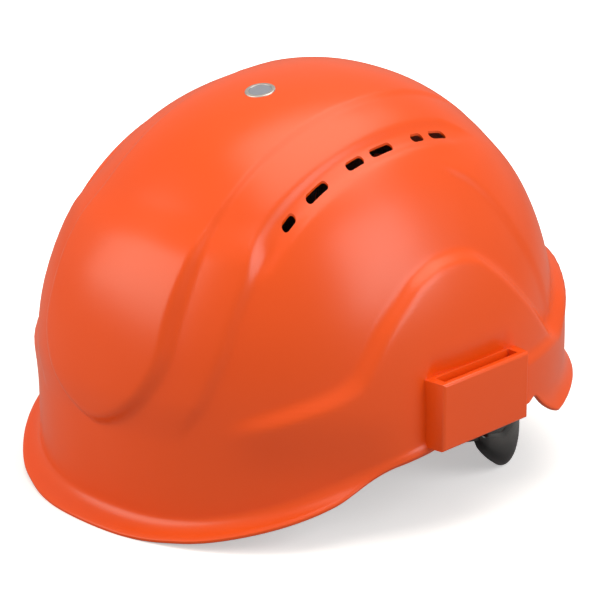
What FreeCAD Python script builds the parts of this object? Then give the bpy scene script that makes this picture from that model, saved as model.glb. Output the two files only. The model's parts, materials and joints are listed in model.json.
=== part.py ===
import FreeCAD, Part
import math
import os
from FreeCAD import Vector

# Worn frame while modelling, in millimetres: the face looks along -Y, +X is the wearer's left,
# +Z is up, and z = 0 lies near the rim. stand() turns the finished helmet onto its brim.

# shell
half_width = 106.0
front_reach = 133.3
rear_reach = 113.0
dome_height = 130.0
shoulder = 37.6
plan_power = 2.233
dome_power = 2.158
wall = 2.5
front_flare = 13.0
side_flare = 2.0
rear_flare = 8.0
flare_height = 14.0
flare_power = 1.8
flare_limit = 1.3
flare_front_angles = (5, 100)
flare_rear_angles = (112, 180)
rim_front_angles = (10, 90)
rim_rear_angles = (100, 150)
bumper_depth = 6.0
bumper_start = 112.0
bumper_full = 140.0
bumper_peak = 175.0
bumper_base = 14.0
bumper_rise = 40.0
bumper_slope = 24.0
rim_front = -10.0
rim_side = 26.0
rim_rear = 14.0
notch_y = 42.0
# side view of the rim: ahead of the notch as (distance from the brim's tip, rise), behind it as
# (distance from the notch, height)
rim_line_ahead = ((-4, 0), (8, 2), (26, 6), (63, 17), (96, 29))
rim_line_behind = ((0, 26), (9, 17), (19, 8.5), (30, 6.5), (44, 8.5), (64, 12.5))
rim_flat = (-10, 20, 42)
ring_points = 40
ring_step = 12.0
ring_count = 10
crown_ring_angles = (30, 38, 46, 54, 61, 68, 74, 79.5, 84.5, 88.4)
mid_wall_share = 0.4

# ventilation slots beside the crown: (start, end) along Y
vent_x = 58.0
vent_width = 4.4
vent_cut_from = 90.0
vent_cut_to = 200.0
vent_spans = ((-74.6, -67.4), (-59.9, -47.4), (-35.2, -24.9), (-20.2, -6.7), (6.0, 13.2), (17.8, 27.9))

# accessory slot housings on the sides
slot_front = -34.5
slot_rear = 21.0
slot_height = 32.0
slot_out = 12.0
slot_gap = 5.8
slot_skin = 3.5
slot_draft = 3.0
slot_radius = 1.6
slot_root = 12.0
slot_end_play = 0.5
slot_corner = 0.8

# crown indicator
indicator_y = -31.3
bezel_radius = 7.0
bezel_height = 1.2
bezel_round = 0.5
bezel_seat = 0.35
bezel_wall = 1.3
bezel_neck = 1.5
indicator_radius = 5.2
indicator_bore = 5.0
indicator_thickness = 0.7

# headband
head_half_width = 78.5
head_front = 105.0
head_centre_y = -6.0
head_power = 2.3
band_thickness = 1.6
band_bottom = 8.0
band_height = 24.0
band_rear_y = 18.5
sweat_thickness = 5.0
sweat_rear_y = -28.0
sweat_overlap = 2.0
band_curve_steps = 24

# suspension stations: lugs, sockets, hangers, webbing
socket_z = 46.0
socket_height = 15.0
socket_width = 20.0
socket_depth = 7.0
tongue_width = 12.0
tongue_thickness = 3.0
tongue_reach = 12.0
tongue_inset = 2.0
lug_height = 8.0
lug_width = 24.0
lug_lip = 3.0
lug_round = 2.0
lug_back_gap = 1.5
anchor_bore = 2.1
anchor_inset = 16.5
hanger_width = 10.0
hanger_thickness = 1.6
hanger_top = 60.0
hanger_bottom = 10.0
hanger_stud = 2.5
height_pitch = 6.0
height_steps = 3
height_window = 2.5
window_half_width = 2.5
front_station_angle = 38.0
webbing_width = 20.0
webbing_thickness = 1.2
webbing_inset = 12.5
webbing_top = 132.0
webbing_step = 1.5
webbing_foot = 4.5
webbing_seat = 5.0
webbing_flat = 2.0
webbing_curve_steps = 8
crown_pad_radius = 30.0
crown_pad_thickness = 5.0
crown_pad_round = 2.0
rear_lug_reach = 4.0

# nape cradle, arms and size wheel
nape_centre_y = 12.0
arm_radius = 88.0
arm_thickness = 1.6
pin_z = 14.0
pin_radius = 2.0
pin_head_radius = 4.5
pin_head_height = 1.6
eye_radius = 6.5
eye_bore = 2.9
pin_inset = 1.1
pin_collar_height = 1.0
pin_head_gap = 1.8
pin_head_round = 0.6
# side view of each arm between its rack and its eye, as offsets from the point where it turns down
upper_turn = 48.0
upper_arm_rise = (16, 6.3)
upper_arm_fall = (20, 4)
lower_turn = 54.0
lower_arm_rise = (22, 17)
lower_arm_fall = ((28, 16), (12, 3))
arm_end_angle = 96.0
arm_play_angle = 5.0
cradle_inner = 84.6
cradle_thickness = 2.0
cradle_span = 76.0
cradle_top = 5.5
cradle_end_top = 2.5
lobe_y = 56.0
lobe_bottom = -20.0
cradle_front_y = 30.0
cradle_rear_y = 102.0
cradle_step_y = (72, 54)
cradle_line_ahead = ((30, 1), (38, -7.5), (46, -16.5), (51, -19.4))
cradle_line_behind = ((62, -19), (68, -17), (76, -14.5), (86, -15), (96, -19), (102, -19.5))
housing_span = 26.0
housing_half_width = 21.0
housing_face = 92.2
housing_wall = 2.8
housing_overlap = 0.5
housing_floor = 0.3
housing_root = 80.0
pinion_z = -7.0
gear_module = 1.25
pinion_teeth = 8
pinion_length = 5.5
tooth_share = 0.34
tooth_slope_in = 0.35
tooth_slope_out = 0.45
rack_addendum = 0.7
pinion_addendum = 0.8
dedendum = 1.1
rack_depth = 4.3
rack_play = 0.3
tunnel_span = 60.0
hub_radius = 4.0
hub_reach = 8.8
hub_flat = 1.0
cover_thickness = 2.0
cover_half_height = 12.0
cover_ear_radius = 4.5
knob_radius = 13.0
knob_depth = 11.4
knob_gap = 0.4
knob_round = 1.5
knob_grips = 18
grip_radius = 1.3
grip_offset = 0.5
detent_radius = 11.4
detent_depth = 2.4
detent_count = 24
detent_notch = 0.5
spring_outer = 6.6
spring_inner = 5.4
spring_depth = 2.0
spring_fingers = 3
finger_half_width = 0.6
finger_play = 0.9
knob_screw_radius = 1.2
knob_screw_sink = 3.3
knob_screw_seat = 1.8
knob_screw_head = 3.0
knob_screw_head_height = 1.4
cross_half_length = 2.0
cross_half_width = 0.4
cross_depth = 0.8
screw_tip_gap = 1.0
screw_bore_start = 1.5
cover_screw_radius = 1.2
cover_screw_x = 17.0
cover_screw_length = 5.0
cover_screw_head = 2.3
cover_screw_head_height = 1.2
cover_screw_recess = 1.0
nape_pad_thickness = 5.0
nape_pad_span = 38.0
nape_pad_edge_low = 5.0
nape_pad_edge_high = 2.0
size_travel = 25.0

# clearances
run_fit = 0.05
loose_fit = 0.2
soft_gap = 0.3

far = 400.0


def ease(start, end, value):
    t = min(1.0, max(0.0, (value - start) / (end - start)))
    return t * t * (3 - 2 * t)


# shell surface

def smoothRim(phi):
    # rim height without the notch, used to place the flare; phi is 0 at the face
    d = abs(math.degrees(phi))
    rise = rim_side - rim_front
    drop = rim_side - rim_rear
    return rim_front + rise * ease(*rim_front_angles, d) - drop * ease(*rim_rear_angles, d)


def flare(phi):
    d = abs(math.degrees(phi))
    front = front_flare - (front_flare - side_flare) * ease(*flare_front_angles, d)
    return front + (rear_flare - side_flare) * ease(*flare_rear_angles, d)


def bumper(phi, z):
    # raised rear skirt, higher towards the back
    d = abs(math.degrees(phi))
    top = shoulder + bumper_base + bumper_rise * ease(bumper_start, bumper_peak, d)
    return bumper_depth * ease(bumper_start, bumper_full, d) * ease(0, bumper_slope, top - z)


def planRadius(phi, inset):
    s = math.sin(phi)
    c = -math.cos(phi)
    reach = (front_reach if c < 0 else rear_reach) - inset
    a = half_width - inset
    return (abs(s / a) ** plan_power + abs(c / reach) ** plan_power) ** (-1 / plan_power)


def shellRadius(phi, z, inset):
    u = max(0.0, (z - shoulder) / (dome_height - inset))
    r = planRadius(phi, inset) * max(1e-9, 1 - u ** dome_power) ** (1 / dome_power)
    k = min(flare_limit, max(0.0, (smoothRim(phi) + flare_height - z) / flare_height))
    return r + flare(phi) * k ** flare_power + bumper(phi, z)


def crownHeight(y, inset):
    reach = (front_reach if y < 0 else rear_reach) - inset
    u = abs(y) / reach
    return shoulder + (dome_height - inset) * (1 - u ** dome_power) ** (1 / dome_power)


def closedCurve(points):
    curve = Part.BSplineCurve()
    curve.interpolate(Points=points, PeriodicFlag=True)
    return Part.Wire(curve.toShape())


def openCurve(points):
    curve = Part.BSplineCurve()
    curve.interpolate(Points=points)
    return curve.toShape()


def domeLevels(inset):
    levels = [rim_front - 8 + ring_step * i for i in range(ring_count)]
    height = dome_height - inset
    for degrees in crown_ring_angles:
        c = math.cos(math.radians(degrees))
        s = math.sin(math.radians(degrees))
        z = shoulder + height * s * (c ** dome_power + s ** dome_power) ** (-1 / dome_power)
        if z > levels[-1] + ring_step / 3:
            levels.append(z)
    return levels


def domeSolid(inset):
    rings = []
    for z in domeLevels(inset):
        points = []
        for i in range(ring_points):
            phi = -math.pi + 2 * math.pi * i / ring_points
            r = shellRadius(phi, z, inset)
            points.append(Vector(r * math.sin(phi), -r * math.cos(phi), z))
        rings.append(closedCurve(points))
    return Part.makeLoft(rings, True, False)


def rimCutter():
    # everything below the rim line, which is one side-view curve with a sharp notch
    brim = -front_reach - front_flare
    ahead = [(brim + dy, rim_front + rise) for dy, rise in rim_line_ahead]
    ahead += [(y, rim_side) for y in rim_flat]
    behind = [(notch_y + dy, z) for dy, z in rim_line_behind] + [(rear_reach + 20, rim_rear)]
    low = -60.0
    front_curve = openCurve([Vector(-far / 2, y, z) for y, z in ahead])
    rear_curve = openCurve([Vector(-far / 2, y, z) for y, z in behind])
    corners = [Vector(-far / 2, rear_reach + 20, rim_rear), Vector(-far / 2, far / 2, rim_rear),
               Vector(-far / 2, far / 2, low), Vector(-far / 2, -far / 2, low),
               Vector(-far / 2, -far / 2, rim_front), Vector(-far / 2, brim - 4, rim_front)]
    edges = Part.__sortEdges__([front_curve, rear_curve] + Part.makePolygon(corners).Edges)
    return Part.Face(Part.Wire(edges)).extrude(Vector(far, 0, 0))


# small shape helpers

def block(x0, x1, y0, y1, z0, z1):
    return Part.makeBox(x1 - x0, y1 - y0, z1 - z0, Vector(x0, y0, z0))


def rod(radius, start, end):
    a = Vector(*start)
    b = Vector(*end)
    return Part.makeCylinder(radius, (b - a).Length, a, b - a)


def facing(shape, point, degrees):
    # a shape built at the origin looking along -Y, turned about Z and set at a plan point
    turned = shape.copy()
    turned.rotate(Vector(0, 0, 0), Vector(0, 0, 1), degrees)
    turned.translate(Vector(point[0], point[1], 0))
    return turned


def mirrored(shape):
    return shape.mirror(Vector(0, 0, 0), Vector(1, 0, 0))


def arcPlate(inner, outer, start, end, z0, z1):
    # part of an upright ring round the nape centre; angles run from +Y towards +X
    centre = Vector(0, nape_centre_y, z0)
    plate = Part.makeCylinder(outer, z1 - z0, centre, Vector(0, 0, 1), end - start)
    hole = Part.makeCylinder(inner, z1 - z0, centre, Vector(0, 0, 1), end - start)
    ring = plate.cut(hole)
    ring.rotate(centre, Vector(0, 0, 1), 90 - end)
    return ring


def sideProfile(points):
    # a side-view polygon of (y, z) carried right across the helmet
    corners = [Vector(-far / 2, y, z) for y, z in points]
    corners.append(corners[0])
    return Part.Face(Part.makePolygon(corners)).extrude(Vector(far, 0, 0))


def roundedSlot(x, y0, y1, width, z0, z1):
    r = width / 2
    middle = block(x - r, x + r, y0 + r, y1 - r, z0, z1)
    return middle.fuse([rod(r, (x, y0 + r, z0), (x, y0 + r, z1)), rod(r, (x, y1 - r, z0), (x, y1 - r, z1))])


# stations where the suspension hangs from the shell

def bandPoint(degrees, offset):
    # a plan point on the headband's inside line, moved out by offset
    phi = math.radians(degrees)
    s = math.sin(phi)
    c = math.cos(phi)
    a = head_half_width + offset
    b = head_front + head_centre_y + offset
    r = (abs(s / a) ** head_power + abs(c / b) ** head_power) ** (-1 / head_power)
    return (r * s, head_centre_y - r * c)


def wallDistance(point, degrees, z):
    # how far the shell's inside is from a plan point, looking along the given heading
    dx = math.sin(math.radians(degrees))
    dy = -math.cos(math.radians(degrees))
    near = 0.0
    away = 160.0
    for _ in range(40):
        t = (near + away) / 2
        x = point[0] + t * dx
        y = point[1] + t * dy
        if math.hypot(x, y) < shellRadius(math.atan2(x, -y), z, wall):
            near = t
        else:
            away = t
    return near


def frontStation():
    point = bandPoint(front_station_angle, band_thickness + run_fit)
    tangent_x = bandPoint(front_station_angle + 1, 0)[0] - bandPoint(front_station_angle - 1, 0)[0]
    tangent_y = bandPoint(front_station_angle + 1, 0)[1] - bandPoint(front_station_angle - 1, 0)[1]
    heading = math.degrees(math.atan2(tangent_y, tangent_x))
    reach = wallDistance(point, heading, socket_z)
    return {"point": point, "heading": heading, "reach": reach, "hanger": True, "anchor": True}


def sideStation():
    point = (head_half_width + band_thickness + run_fit, 0.0)
    return {"point": point, "heading": 90.0, "reach": wallDistance(point, 90.0, socket_z),
            "hanger": True, "anchor": False}


def webbingEnd(station):
    d = station["reach"] - webbing_inset
    h = math.radians(station["heading"])
    return (station["point"][0] + d * math.sin(h), station["point"][1] - d * math.cos(h))


def rearStation():
    # straight across the crown from the opposite front station
    x, y = webbingEnd(frontStation())
    heading = 180 - math.degrees(math.atan2(x, -y))
    reach = wallDistance((0, 0), heading, socket_z)
    short = webbing_inset + rear_lug_reach
    h = math.radians(heading)
    point = ((reach - short) * math.sin(h), -(reach - short) * math.cos(h))
    return {"point": point, "heading": heading, "reach": short, "hanger": False, "anchor": True}


def webbingHeading(station):
    x, y = webbingEnd(station)
    return math.degrees(math.atan2(x, -y))


def atStation(shape, station):
    return facing(shape, station["point"], station["heading"])


# suspension pieces

def socket(station):
    # moulded pocket on the shell's inside, open downwards
    reach = station["reach"]
    top = socket_z + socket_height
    body = block(-socket_width / 2, socket_width / 2, -(reach + wall), -(reach - socket_depth),
                 socket_z, top)
    back = -(reach - tongue_inset) - loose_fit
    front = -(reach - tongue_inset - tongue_thickness) + loose_fit
    half = tongue_width / 2 + loose_fit
    pocket = block(-half, half, back, front, socket_z - 1, socket_z + tongue_reach + loose_fit)
    return atStation(body.cut(pocket), station)


def lug(station):
    reach = station["reach"]
    z0 = socket_z - lug_height - loose_fit
    z1 = socket_z - loose_fit
    body = block(-lug_width / 2, lug_width / 2, -(reach - lug_back_gap), lug_lip, z0, z1)
    body = body.makeFillet(lug_round, [e for e in body.Edges if abs(e.tangentAt(e.FirstParameter).z) > 0.9])
    half = tongue_width / 2
    back = -(reach - tongue_inset)
    tongue = block(-half, half, back, back + tongue_thickness, z1 - 1, socket_z + tongue_reach)
    body = body.fuse(tongue)
    if station["hanger"]:
        gap = block(-hanger_width / 2 - loose_fit, hanger_width / 2 + loose_fit,
                    -hanger_thickness - loose_fit, loose_fit, z0 - 1, z1 + 1)
        body = body.cut(gap)
    if station["anchor"]:
        bore_y = -(reach - anchor_inset)
        body = body.cut(rod(anchor_bore, (0, bore_y, z0 - 1), (0, bore_y, z1 + 1)))
    placed = atStation(body, station).common(domeSolid(wall + loose_fit * 2))
    x, y = webbingEnd(station)
    half = webbing_width / 2 + soft_gap
    seat = block(-half, half, -webbing_thickness / 2 - soft_gap, webbing_thickness / 2 + soft_gap,
                 z1 - webbing_seat, z1 + 1)
    return placed.cut(facing(seat, (x, y), webbingHeading(station)))


def hanger(station):
    strip = block(-hanger_width / 2, hanger_width / 2, -hanger_thickness, 0, hanger_bottom, hanger_top)
    for i in range(height_steps):
        z = socket_z - lug_height / 2 + i * height_pitch
        window = block(-window_half_width, window_half_width, -hanger_thickness - 1, 1,
                       z - height_window / 2, z + height_window / 2)
        strip = strip.cut(window)
    stud_z = band_bottom + band_height / 2
    stud = rod(hanger_stud, (0, -hanger_thickness, stud_z), (0, band_thickness, stud_z))
    return atStation(strip.fuse(stud), station)


def webbing(front, rear, top):
    # one strap from lug to lug over the crown, in its own upright plane
    fx, fy = webbingEnd(front)
    rx, ry = webbingEnd(rear)
    span_front = math.hypot(fx, fy)
    span_rear = math.hypot(rx, ry)
    foot = socket_z - loose_fit - webbing_foot
    half = crown_pad_radius + webbing_flat

    def outline(grow):
        rise = top + grow - foot
        out = span_front - half + grow
        back = span_rear - half + grow
        ahead = []
        behind = []
        for i in range(webbing_curve_steps + 1):
            s = math.sin(math.pi / 2 * i / webbing_curve_steps)
            c = math.cos(math.pi / 2 * i / webbing_curve_steps)
            ahead.append(Vector(0, -half - out * c, foot + rise * s))
            behind.append(Vector(0, half + back * s, foot + rise * c))
        return [openCurve(ahead), Part.makeLine(ahead[-1], behind[0]), openCurve(behind)]

    h = webbing_thickness / 2
    outer = outline(h)
    inner = outline(-h)
    ends = [Part.makeLine(Vector(0, -span_front - h, foot), Vector(0, -span_front + h, foot)),
            Part.makeLine(Vector(0, span_rear - h, foot), Vector(0, span_rear + h, foot))]
    face = Part.Face(Part.Wire(Part.__sortEdges__(outer + inner + ends)))
    face.translate(Vector(-webbing_width / 2, 0, 0))
    return facing(face.extrude(Vector(webbing_width, 0, 0)), (0, 0), webbingHeading(front))


def crownPad():
    z1 = webbing_top - 2 * webbing_step - webbing_thickness / 2 - soft_gap
    pad = Part.makeCylinder(crown_pad_radius, crown_pad_thickness, Vector(0, 0, z1 - crown_pad_thickness))
    return pad.makeFillet(crown_pad_round, [e for e in pad.Edges if e.Curve.TypeId == "Part::GeomCircle"])


def bandSolid(offset, thickness, rear_y, z0, z1):
    # a strip that follows the head's front half and runs straight back along the sides
    def line(grow):
        angles = [-90 + 180 * i / band_curve_steps for i in range(band_curve_steps + 1)]
        points = [bandPoint(a, grow) for a in angles]
        return [Vector(x, y, z0) for x, y in points]

    outer = line(offset + thickness)
    inner = line(offset)
    edges = [openCurve(outer), openCurve(inner)]
    for end in (0, -1):
        p = Vector(outer[end].x, rear_y, z0)
        q = Vector(inner[end].x, rear_y, z0)
        edges += [Part.makeLine(outer[end], p), Part.makeLine(p, q), Part.makeLine(q, inner[end])]
    face = Part.Face(Part.Wire(Part.__sortEdges__(edges)))
    return face.extrude(Vector(0, 0, z1 - z0))


def headband():
    band = bandSolid(0, band_thickness, band_rear_y, band_bottom, band_bottom + band_height)
    pin_hole = rod(pin_radius + run_fit, (-far / 4, nape_centre_y, pin_z), (far / 4, nape_centre_y, pin_z))
    stud_z = band_bottom + band_height / 2
    bore = rod(hanger_stud + run_fit, (0, -20, stud_z), (0, 20, stud_z))
    holes = [pin_hole]
    for station in (frontStation(), sideStation()):
        hole = atStation(bore, station)
        holes += [hole, mirrored(hole)]
    return band.cut(holes)


def sweatband():
    inside = -soft_gap - sweat_thickness
    bottom = band_bottom - sweat_overlap
    top = band_bottom + band_height + sweat_overlap
    pad = bandSolid(inside, sweat_thickness, band_rear_y, bottom, top)
    return pad.common(block(-far / 2, far / 2, -far / 2, sweat_rear_y, -far / 2, far / 2))


# nape cradle and size wheel

pitch_radius = gear_module * pinion_teeth / 2
tooth_pitch = math.pi * gear_module
rack_tip = pitch_radius - rack_addendum * gear_module
rack_root = pitch_radius + dedendum * gear_module
rack_back = rack_root + rack_depth
arm_inner = arm_radius - arm_thickness / 2
arm_outer = arm_radius + arm_thickness / 2
travel_angle = math.degrees(size_travel / arm_radius)
housing_y = nape_centre_y + housing_face
cover_y = housing_y + cover_thickness
knob_y = cover_y + knob_gap
gear_start = nape_centre_y + arm_radius - pinion_length / 2
gear_end = gear_start + pinion_length


def rackTeeth(side):
    # gaps cut into a rack's edge; side is 1 for the upper rack and -1 for the lower one
    z_tip = pinion_z + side * (rack_tip - 0.5)
    z_root = pinion_z + side * rack_root
    half_tip = tooth_pitch * (1 - tooth_share) / 2 + tooth_slope_in
    half_root = tooth_pitch * (1 - tooth_share) / 2 - tooth_slope_out
    y0 = nape_centre_y + arm_inner - 2
    y1 = nape_centre_y + arm_outer + 2
    corners = [(-half_tip, z_tip), (half_tip, z_tip), (half_root, z_root), (-half_root, z_root)]
    points = [Vector(x, y0, z) for x, z in corners]
    points.append(points[0])
    gap = Part.Face(Part.makePolygon(points)).extrude(Vector(0, y1 - y0, 0))
    count = int(arm_radius * math.radians(travel_angle + 4) / tooth_pitch) + 1
    cuts = []
    for i in range(-count, count + 1):
        piece = gap.copy()
        turn = math.degrees(i * tooth_pitch / arm_radius)
        piece.rotate(Vector(0, nape_centre_y, 0), Vector(0, 0, 1), turn)
        cuts.append(piece)
    return cuts


def arm(side):
    # built on the wearer's left; side 1 carries the upper rack, -1 the lower one
    z_low = pinion_z + min(side * rack_tip, side * rack_back)
    z_high = pinion_z + max(side * rack_tip, side * rack_back)
    start = -travel_angle - arm_play_angle
    turn_y = nape_centre_y + (upper_turn if side > 0 else lower_turn)
    rise_y, rise_z = upper_arm_rise if side > 0 else lower_arm_rise
    falls = [upper_arm_fall] if side > 0 else lower_arm_fall
    outline = [(turn_y, z_low), (turn_y, z_high), (turn_y - rise_y, z_high + rise_z),
               (nape_centre_y, pin_z + eye_radius), (nape_centre_y, pin_z - eye_radius)]
    outline += [(turn_y - dy, z_low + dz) for dy, dz in falls]
    turn_angle = math.degrees(math.acos((turn_y - nape_centre_y) / arm_radius))
    strip = arcPlate(arm_inner, arm_outer, start, turn_angle + 0.5, z_low, z_high)
    blank = arcPlate(arm_inner, arm_outer, turn_angle - 1, arm_end_angle, pinion_z - 30, pin_z + 20)
    eye = rod(eye_radius, (arm_radius - 10, nape_centre_y, pin_z), (arm_radius + 10, nape_centre_y, pin_z))
    body = strip.fuse([blank.common(sideProfile(outline)), blank.common(eye)]).removeSplitter()
    bore = rod(eye_bore, (arm_radius - 10, nape_centre_y, pin_z), (arm_radius + 10, nape_centre_y, pin_z))
    return body.cut(rackTeeth(side) + [bore])


def cradleOutline():
    # side view of the cradle plate: a lobe hangs each side of the neck
    lower = list(cradle_line_ahead) + [(lobe_y, lobe_bottom)] + list(cradle_line_behind)
    edges = [openCurve([Vector(-far / 2, y, z) for y, z in lower])]
    upper = [lower[-1], (cradle_rear_y, cradle_top), (cradle_step_y[0], cradle_top),
             (cradle_step_y[1], cradle_end_top), (cradle_front_y, cradle_end_top), lower[0]]
    edges += Part.makePolygon([Vector(-far / 2, y, z) for y, z in upper]).Edges
    return Part.Face(Part.Wire(Part.__sortEdges__(edges))).extrude(Vector(far, 0, 0))


def napeCradle():
    plate_outer = cradle_inner + cradle_thickness
    plate = arcPlate(cradle_inner, plate_outer, -cradle_span, cradle_span, -40, 20).common(cradleOutline())
    z0 = lobe_bottom + housing_floor
    inside = plate_outer - housing_overlap
    top = arcPlate(inside, arm_outer + housing_wall, -housing_span, housing_span, z0, cradle_top)
    boss = block(-housing_half_width, housing_half_width, nape_centre_y + housing_root, housing_y,
                 z0, cradle_top)
    boss = boss.cut(Part.makeCylinder(inside, 60, Vector(0, nape_centre_y, -40)))
    body = plate.fuse([top, boss]).removeSplitter()
    tunnels = []
    for side in (1, -1):
        a = pinion_z + side * (rack_tip - rack_play)
        b = pinion_z + side * (rack_back + rack_play)
        tunnels.append(arcPlate(arm_inner - rack_play, arm_outer + rack_play, -tunnel_span, tunnel_span,
                                min(a, b), max(a, b)))
    pocket = rod(rack_root + rack_play, (0, gear_start - rack_play, pinion_z), (0, housing_y + 5, pinion_z))
    screws = []
    for x in (-cover_screw_x, cover_screw_x):
        screws.append(rod(cover_screw_radius + run_fit, (x, housing_y - cover_screw_length - 1, pinion_z),
                          (x, housing_y + 5, pinion_z)))
    return body.cut(tunnels + [pocket] + screws)


def napePad():
    outer = cradle_inner - soft_gap
    pad = arcPlate(outer - nape_pad_thickness, outer, -nape_pad_span, nape_pad_span, -30, 10)
    return pad.common(block(-far / 2, far / 2, 0, far / 2, lobe_bottom + nape_pad_edge_low,
                            cradle_top - nape_pad_edge_high))


def ratchetCover():
    ears = []
    for x in (-cover_screw_x, cover_screw_x):
        ears.append(rod(cover_ear_radius, (x, housing_y, pinion_z), (x, cover_y, pinion_z)))
    disc = rod(cover_half_height, (0, housing_y, pinion_z), (0, cover_y, pinion_z))
    bar = block(-cover_screw_x, cover_screw_x, housing_y, cover_y,
                pinion_z - cover_ear_radius, pinion_z + cover_ear_radius)
    plate = disc.fuse(ears + [bar]).removeSplitter()
    holes = [rod(hub_radius + run_fit, (0, housing_y - 1, pinion_z), (0, cover_y + 1, pinion_z))]
    for x in (-cover_screw_x, cover_screw_x):
        holes.append(rod(cover_screw_radius + run_fit, (x, housing_y - 1, pinion_z),
                         (x, cover_y + 1, pinion_z)))
    return plate.cut(holes)


def coverScrews():
    screws = []
    for x in (-cover_screw_x, cover_screw_x):
        top = cover_y + cover_screw_head_height
        tip = housing_y - cover_screw_length
        shank = rod(cover_screw_radius, (x, tip, pinion_z), (x, cover_y, pinion_z))
        head = rod(cover_screw_head, (x, cover_y, pinion_z), (x, top, pinion_z))
        recess = rod(cover_screw_recess, (x, top - 0.7, pinion_z), (x, top + 1, pinion_z))
        screws.append(shank.fuse(head).cut(recess))
    return Part.makeCompound(screws)


def pinion():
    tip = pitch_radius + pinion_addendum * gear_module
    root = pitch_radius - dedendum * gear_module
    half_tip = tooth_pitch * tooth_share / 2 - tooth_slope_in
    half_root = tooth_pitch * tooth_share / 2 + tooth_slope_out
    corners = [(-half_root, root - 1), (half_root, root - 1), (half_tip, tip), (-half_tip, tip)]
    points = [Vector(x, gear_start, z + pinion_z) for x, z in corners]
    points.append(points[0])
    tooth = Part.Face(Part.makePolygon(points)).extrude(Vector(0, pinion_length, 0))
    teeth = []
    for i in range(pinion_teeth):
        piece = tooth.copy()
        piece.rotate(Vector(0, 0, pinion_z), Vector(0, 1, 0), 360 * i / pinion_teeth)
        teeth.append(piece)
    core = rod(root, (0, gear_start, pinion_z), (0, gear_end, pinion_z))
    hub = rod(hub_radius, (0, gear_end, pinion_z), (0, cover_y + hub_reach, pinion_z))
    flat = block(-20, 20, knob_y, far, pinion_z + hub_radius - hub_flat, pinion_z + 20)
    bore = rod(knob_screw_radius + run_fit, (0, gear_start + screw_bore_start, pinion_z), (0, far, pinion_z))
    return core.fuse(teeth + [hub.cut(flat)]).cut(bore)


def knob():
    end_y = knob_y + knob_depth
    body = rod(knob_radius, (0, knob_y, pinion_z), (0, end_y, pinion_z))
    rim = [e for e in body.Edges if e.CenterOfMass.y > end_y - 0.1 and e.Length > 20]
    body = body.makeFillet(knob_round, rim)
    grips = []
    for i in range(knob_grips):
        a = 2 * math.pi * i / knob_grips
        x = (knob_radius + grip_offset) * math.cos(a)
        z = pinion_z + (knob_radius + grip_offset) * math.sin(a)
        grips.append(rod(grip_radius, (x, knob_y - 1, z), (x, end_y + 1, z)))
    recess = rod(detent_radius, (0, knob_y - 1, pinion_z), (0, knob_y + detent_depth, pinion_z))
    notches = []
    for i in range(detent_count):
        a = 2 * math.pi * i / detent_count
        x = detent_radius * math.cos(a)
        z = pinion_z + detent_radius * math.sin(a)
        notches.append(rod(detent_notch, (x, knob_y - 1, z), (x, knob_y + detent_depth, z)))
    hub_end = cover_y + hub_reach
    hub = rod(hub_radius + run_fit, (0, knob_y - 1, pinion_z), (0, hub_end, pinion_z))
    flat = block(-20, 20, knob_y - 2, hub_end, pinion_z + hub_radius - hub_flat + run_fit, pinion_z + 20)
    screw = rod(knob_screw_radius + loose_fit, (0, knob_y, pinion_z), (0, end_y + 1, pinion_z))
    sink = rod(knob_screw_sink, (0, end_y - knob_screw_seat, pinion_z), (0, end_y + 1, pinion_z))
    return body.cut(grips + notches + [recess, hub.cut(flat), screw, sink])


def knobScrew():
    seat = knob_y + knob_depth - knob_screw_seat
    top = seat + knob_screw_head_height
    tip = gear_start + screw_bore_start + screw_tip_gap
    shank = rod(knob_screw_radius, (0, tip, pinion_z), (0, seat, pinion_z))
    head = rod(knob_screw_head, (0, seat, pinion_z), (0, top, pinion_z))
    floor = top - cross_depth
    cross = block(-cross_half_length, cross_half_length, floor, top + 1,
                  pinion_z - cross_half_width, pinion_z + cross_half_width)
    other = block(-cross_half_width, cross_half_width, floor, top + 1,
                  pinion_z - cross_half_length, pinion_z + cross_half_length)
    return shank.fuse(head).cut([cross, other])


def detentSpring():
    y0 = cover_y + run_fit
    y1 = knob_y + spring_depth
    hole = rod(spring_inner, (0, y0 - 1, pinion_z), (0, y1 + 1, pinion_z))
    ring = rod(spring_outer, (0, y0, pinion_z), (0, y1, pinion_z)).cut(hole)
    fingers = []
    reach = detent_radius - finger_play
    for i in range(spring_fingers):
        bar = block(spring_inner + 0.2, reach, y0, y1,
                    pinion_z - finger_half_width, pinion_z + finger_half_width)
        tip = rod(finger_half_width, (reach, y0, pinion_z), (reach, y1, pinion_z))
        finger = bar.fuse(tip)
        finger.rotate(Vector(0, 0, pinion_z), Vector(0, 1, 0), 360 * i / spring_fingers)
        fingers.append(finger)
    return ring.fuse(fingers).removeSplitter()


def pivotPin():
    inside = head_half_width - pin_inset
    outside = arm_outer + pin_head_gap
    end = outside + pin_head_height
    shaft = rod(pin_radius, (inside, nape_centre_y, pin_z), (outside, nape_centre_y, pin_z))
    collar_end = inside + pin_collar_height
    collar = rod(pin_head_radius - 0.5, (inside, nape_centre_y, pin_z), (collar_end, nape_centre_y, pin_z))
    head = rod(pin_head_radius, (outside, nape_centre_y, pin_z), (end, nape_centre_y, pin_z))
    rim = [e for e in head.Edges if e.CenterOfMass.x > end - 0.1]
    return shaft.fuse([collar, head.makeFillet(pin_head_round, rim)])


# shell, slot housings and crown indicator

def crownNormal():
    rise = crownHeight(indicator_y + 1, 0) - crownHeight(indicator_y - 1, 0)
    tilt = math.atan2(rise, 2)
    return Vector(0, -math.sin(tilt), math.cos(tilt))


def onCrown(shape):
    # a shape built at the origin with +Z outwards, set on the crown
    normal = crownNormal()
    placed = shape.copy()
    placed.rotate(Vector(0, 0, 0), Vector(1, 0, 0), math.degrees(math.atan2(-normal.y, normal.z)))
    placed.translate(Vector(0, indicator_y, crownHeight(indicator_y, 0)))
    return placed


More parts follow.
